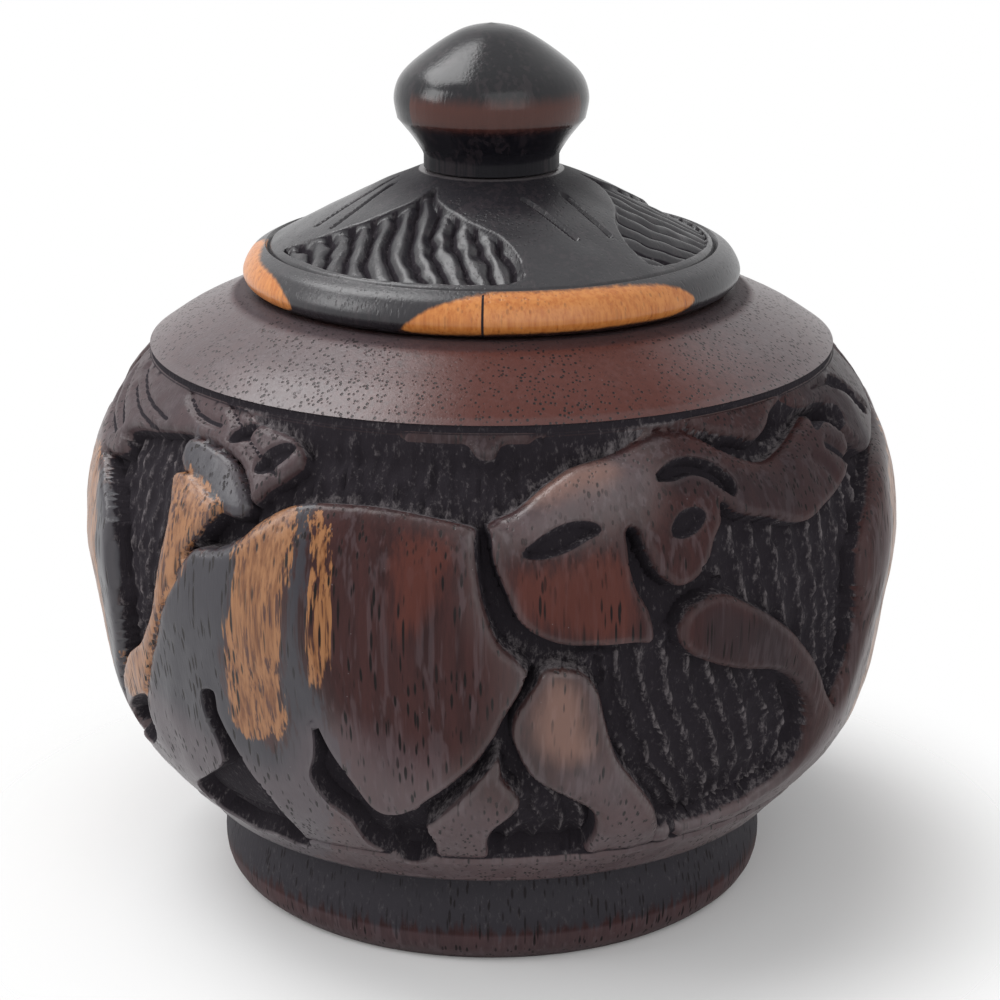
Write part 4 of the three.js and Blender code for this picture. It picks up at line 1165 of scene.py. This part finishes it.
@dataclass
class Lid:
    """The lid with its bead, carved leaves and spigot.

    leaf is an outline in (degrees, radius), and each of the leaves gives its middle, the way its ribs run and
    the side its tip leans to. Each of the cuts runs from a turn and radius to another. The patches of sapwood
    on the bead are in (degrees, height), and bead_scale turns them into millimetres. crack is the turn of the
    crack in the bead.
    """

    spigot: Points = ((0, 87.1), (19.8, 87.1), (21.8, 85.1), (21.8, 75.9), (25.4, 75.9), (26, 76.5),
                      (26, 81.1))
    bead: Points = ((30.8, 81.1), (32.1, 81.96), (32.5, 83.37), (31.4, 85.42), (29.6, 86.5))
    dome: Points = ((28.8, 86.6), (22.46, 89.96), (14.4, 93.99), (9.3, 96.1))
    ring_groove: Pair = (29.1, 85.9)
    knob_hole: Pair = (4.5, 90.2)
    leaf: Points = (
        (-40, 27.8), (-30, 28.1), (-15, 28.2), (0, 28.3), (15, 28.2), (30, 28.1), (40, 27.3), (41, 25.6),
        (40.2, 23.1), (34.5, 19.7), (22.6, 17.4), (3.3, 14), (-6, 11.5), (-10.7, 14.8), (-21.3, 19.2),
        (-31.8, 23.4))
    leaves: tuple[Place, ...] = ((-32, 5, 1), (87, 95, -1), (207, 215, 1))
    leaf_depth: float = 0.5
    leaf_bank: float = 0.45
    rib_pitch: float = 2.75
    rib_depth: float = 1.15
    cuts: tuple[tuple[float, ...], ...] = (
        (18, 13.5, 30, 21), (43, 13.5, 43.5, 21.5), (-90, 12.5, -76, 23), (-76, 13, -66, 22),
        (140, 13, 143, 22), (156, 13, 157, 22))
    cut_half: float = 0.5
    cut_depth: float = 0.6
    patches: tuple[Points, ...] = (
        ((-19.5, 82), (-16, 83.8), (-12, 85), (-1, 86.3), (15, 86.4), (36, 86.1), (47, 85.1), (51, 83.4),
         (47, 82.2), (30, 81.9), (0, 81.7), (-15, 81.5)),
        ((-95, 85.4), (-70, 85.6), (-56, 84.6), (-50, 82.6), (-52, 81.8), (-80, 81.8), (-95, 82.2)))
    bead_scale: Pair = (0.57, 1.0)
    crack: float = -1.6
    finish: CarvedWood = CarvedWood(
        "lid_wood_finish", dark=srgb(29, 28, 33), brown=srgb(38, 35, 39), black=srgb(29, 28, 33),
        red=srgb(58, 36, 32), sapwood=srgb(180, 106, 48), sapwood_pale=srgb(200, 130, 68), brown_share=0.4,
        tan_share=0.1, ragged=0.08, veined=0.0, pored=0.3, smooth=0.3, rubbed=0.45)

    def carve_dome(self, skin: Skin) -> None:
        """Cuts the leaves and the pairs of short cuts into the dome."""
        top = np.flatnonzero((skin.height > 86.0) & (skin.radius > 9.4) & (skin.radius < 28.9))
        at = plan(skin.turn[top], skin.radius[top])
        depth, raw = np.zeros(len(top)), np.full(len(top), -1.0)
        for middle, rib_way, side in self.leaves:
            corners = np.asarray(self.leaf, float)
            inside = inside_of(at, smooth_curve(plan(middle + side * corners[:, 0], corners[:, 1]), 5, True))
            way = math.radians(rib_way)
            across = at @ np.array([math.cos(way), math.sin(way)])
            outward = at @ np.array([math.sin(way), -math.cos(way)])
            sway = 0.75 * np.sin(outward / 2.6 + 0.6) + 0.25 * Waver((4.0, 4.0), 31).at(at)
            groove = np.abs(np.sin(math.pi * (across + sway) / self.rib_pitch))
            cut = self.leaf_depth + self.rib_depth * (1 - groove ** 0.7)
            depth = np.maximum(depth, cut * ease(inside / self.leaf_bank))
            raw = np.maximum(raw, np.minimum(inside, np.maximum(0.5 - groove, 0.3 - inside)))
        for start_turn, start_radius, end_turn, end_radius in self.cuts:
            ends = plan(np.array([start_turn, end_turn]), np.array([start_radius, end_radius]))
            away = away_from(at, even_steps(ends, 12))
            depth = np.maximum(depth, self.cut_depth * np.clip(1 - (away / self.cut_half) ** 2, 0, 1))
            raw = np.maximum(raw, 0.3 - away)
        depth += 0.04 * (1 + Waver((6.0, 6.0), 8).at(at))
        skin.place(skin.turn[top], skin.radius[top], skin.height[top] - depth, top)
        skin.mark(Mark.RAW, np.clip(raw, -1.0, 1.0), top)
        skin.mark(Mark.MATT, (15.0 - skin.radius[top]) * 0.8, top)

    def mark_bead(self, skin: Skin) -> None:
        """Marks the sapwood on the bead, the red wood under it and the crack."""
        bead = np.flatnonzero((skin.radius > 29.3) & (skin.height > 81.0))
        turn, height = skin.turn[bead], skin.height[bead]
        lines = [smooth_curve(patch, 5, True) * self.bead_scale for patch in self.patches]
        around = np.column_stack([turn, height]) * self.bead_scale
        skin.mark(Mark.SAPWOOD, deepest_inside(around, lines), bead)
        skin.mark(Mark.RED, 2.0, bead[(height < 82.1) & (np.abs(turn - 15) < 36)])
        skin.mark(Mark.RAW, 1.0, bead[(np.abs(turn - self.crack) < 0.31) & (height < 86.2)])

    def build(self) -> Piece:
        """Turns the lid, carves it and dresses it.

        Returns:
            The lid.
        """
        hole, floor = self.knob_hole
        stretches = (
            Stretch(self.spigot, 3), Stretch((self.spigot[-1], self.bead[0]), 4),
            Stretch(self.bead, 30, True), Stretch((self.bead[-1], self.ring_groove, self.dome[0]), 2),
            Stretch(self.dome, 84, True),
            Stretch((self.dome[-1], (hole, self.dome[-1][1]), (hole, floor), (0, floor)), 2))
        skin = Skin(Turning("carved_lid", stretches, steps=600).make())
        self.carve_dome(skin)
        self.mark_bead(skin)
        skin.mark_wear()
        return skin.finish(self.finish, sharp=40)


@dataclass
class Knob:
    """The turned knob and its tenon. It is red between the heights of red_band and dull below neck_top."""

    tenon: Points = ((0, 90.8), (3.8, 90.8), (4.2, 91.2), (4.2, 96.4), (8.8, 96.4), (8.8, 98))
    neck: Points = ((8.8, 98), (9, 98.5), (10.25, 100.4), (11.7, 102.2), (12.2, 102.8))
    head: Points = ((12.2, 102.8), (12.6, 105.6), (11.47, 108.45), (7.94, 111.49), (3.78, 113.97), (0, 114.8))
    red_band: Pair = (102.75, 106.4)
    neck_top: float = 99.2
    finish: CarvedWood = CarvedWood(
        "knob_wood_finish", dark=srgb(14, 14, 19), brown=srgb(25, 23, 28), black=srgb(14, 14, 19),
        red=srgb(82, 42, 32), brown_share=0.4, tan_share=0.1, ragged=0.3, pored=0.08, smooth=0.18, gloss=0.38)

    def build(self) -> Piece:
        """Turns the knob and dresses it.

        Returns:
            The knob.
        """
        stretches = (Stretch(self.tenon, 3), Stretch(self.neck, 10, True), Stretch(self.head, 40, True))
        skin = Skin(Turning("turned_knob", stretches, steps=256).make())
        low, high = self.red_band
        band = np.minimum(skin.height - low, high - skin.height)
        skin.mark(Mark.RED, np.where(np.abs(skin.turn - 5) < 60, band * 1.6, FAR))
        skin.mark(Mark.MATT, (self.neck_top - skin.height) * 3.0)
        return skin.finish(self.finish, sharp=40)


# Studio


@dataclass(frozen=True)
class Lamp:
    """A soft square lamp that looks at the bowl. Its place and size are in metres."""

    name: str
    place: Place
    size: float
    power: float

    def build(self, aim: Place) -> None:
        """Hangs the lamp."""
        light = bpy.data.lights.new(self.name, "AREA")
        light.size = self.size
        light.energy = self.power
        lamp = put(self.name, light)
        lamp.location = self.place
        lamp.rotation_euler = (Vector(aim) - Vector(self.place)).to_track_quat("-Z", "Y").to_euler()


@dataclass
class Studio:
    """The pale floor, the soft lamps, the white surroundings and the camera, in metres.

    Over the two distances of floor_fade the camera sees the floor give way to white. fill is how strongly the
    surroundings light the bowl.
    """

    floor_size: float = 4.0
    floor_colour: Colour = (0.9, 0.9, 0.9)
    floor_fade: Pair = (0.048, 0.088)
    aim: Place = (0.0, 0.0, 0.06)
    fill: float = 0.55
    camera_place: Place = (0.0011, -0.350, 0.1617)
    camera_pitch: float = 17.59
    lens: float = 97.96
    lamps: tuple[Lamp, ...] = (
        Lamp("top_lamp", (-0.28, 0.11, 0.56), 0.34, 2.0),
        Lamp("side_lamp", (-0.52, -0.12, 0.34), 0.26, 1.1),
        Lamp("front_lamp", (0.30, -0.80, 0.50), 0.80, 2.0),
    )

    def build(self) -> None:
        """Sets the whole studio up."""
        self.build_floor()
        self.build_world()
        for lamp in self.lamps:
            lamp.build(self.aim)
        self.build_camera()
        bpy.context.scene.view_settings.view_transform = "Standard"

    def build_floor(self) -> None:
        """Lays the floor, white to the camera but for the bowl's shadow."""
        shape = bmesh.new()
        bmesh.ops.create_grid(shape, x_segments=1, y_segments=1, size=self.floor_size / 2)
        floor = put_shape("studio_floor", shape)
        graph = Graph(bpy.data.materials.new("studio_floor_finish"))
        cloud = graph.noise((30.0, 30.0, 30.0))
        tint = graph.mix(cloud, self.floor_colour, tuple(part * 0.985 for part in self.floor_colour))
        paper = graph.node("ShaderNodeBsdfDiffuse", {}, {"Color": tint, "Roughness": 0.5})
        here = graph.node("ShaderNodeTexCoord").outputs["Object"]
        away = graph.node("ShaderNodeVectorMath", {"operation": "LENGTH"}, {0: here}).outputs["Value"]
        clear = graph.node("ShaderNodeBsdfTransparent")
        faded = Value(graph, away).between(*self.floor_fade) * graph.seen()
        floor.data.materials.append(graph.blend(faded, paper.outputs["BSDF"], clear.outputs["BSDF"]))

    def build_world(self) -> None:
        """Makes the surroundings white to the camera and in reflections, and dimmer as a light."""
        bpy.context.scene.world = bpy.data.worlds.new("studio")
        graph = Graph(bpy.context.scene.world)
        level = graph.node("ShaderNodeMapRange", {}, {
            "Value": graph.seen(), "To Min": self.fill, "To Max": 1.0}).outputs["Result"]
        sky = graph.node("ShaderNodeBackground", {}, {"Color": (1, 1, 1), "Strength": level})
        graph.node("ShaderNodeOutputWorld", {}, {"Surface": sky.outputs["Background"]})

    def build_camera(self) -> None:
        """Sets the camera at the photograph's height and angle."""
        camera = put("camera", bpy.data.cameras.new("camera"))
        camera.data.sensor_width = 36.0
        camera.data.lens = self.lens
        camera.location = self.camera_place
        camera.rotation_euler = (math.radians(90 - self.camera_pitch), 0, 0)
        bpy.context.scene.camera = camera


def main() -> None:
    """Builds the bowl, its lid and its knob, and the studio round them."""
    logging.basicConfig(level=logging.INFO, format="%(name)s: %(message)s")
    Studio().build()
    for maker, node, body, slot in (
            (Bowl(), "bowl", Body.BOWL, "bowl_wood"), (Lid(), "lid", Body.LID, "lid_wood"),
            (Knob(), "knob", Body.LID, "knob_wood")):
        piece = maker.build()
        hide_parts(node)
        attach(piece, body.value)
        log.info("%s: %d faces on the %s", piece.name, len(piece.data.polygons), body.value)


if __name__ == "__main__":
    main()
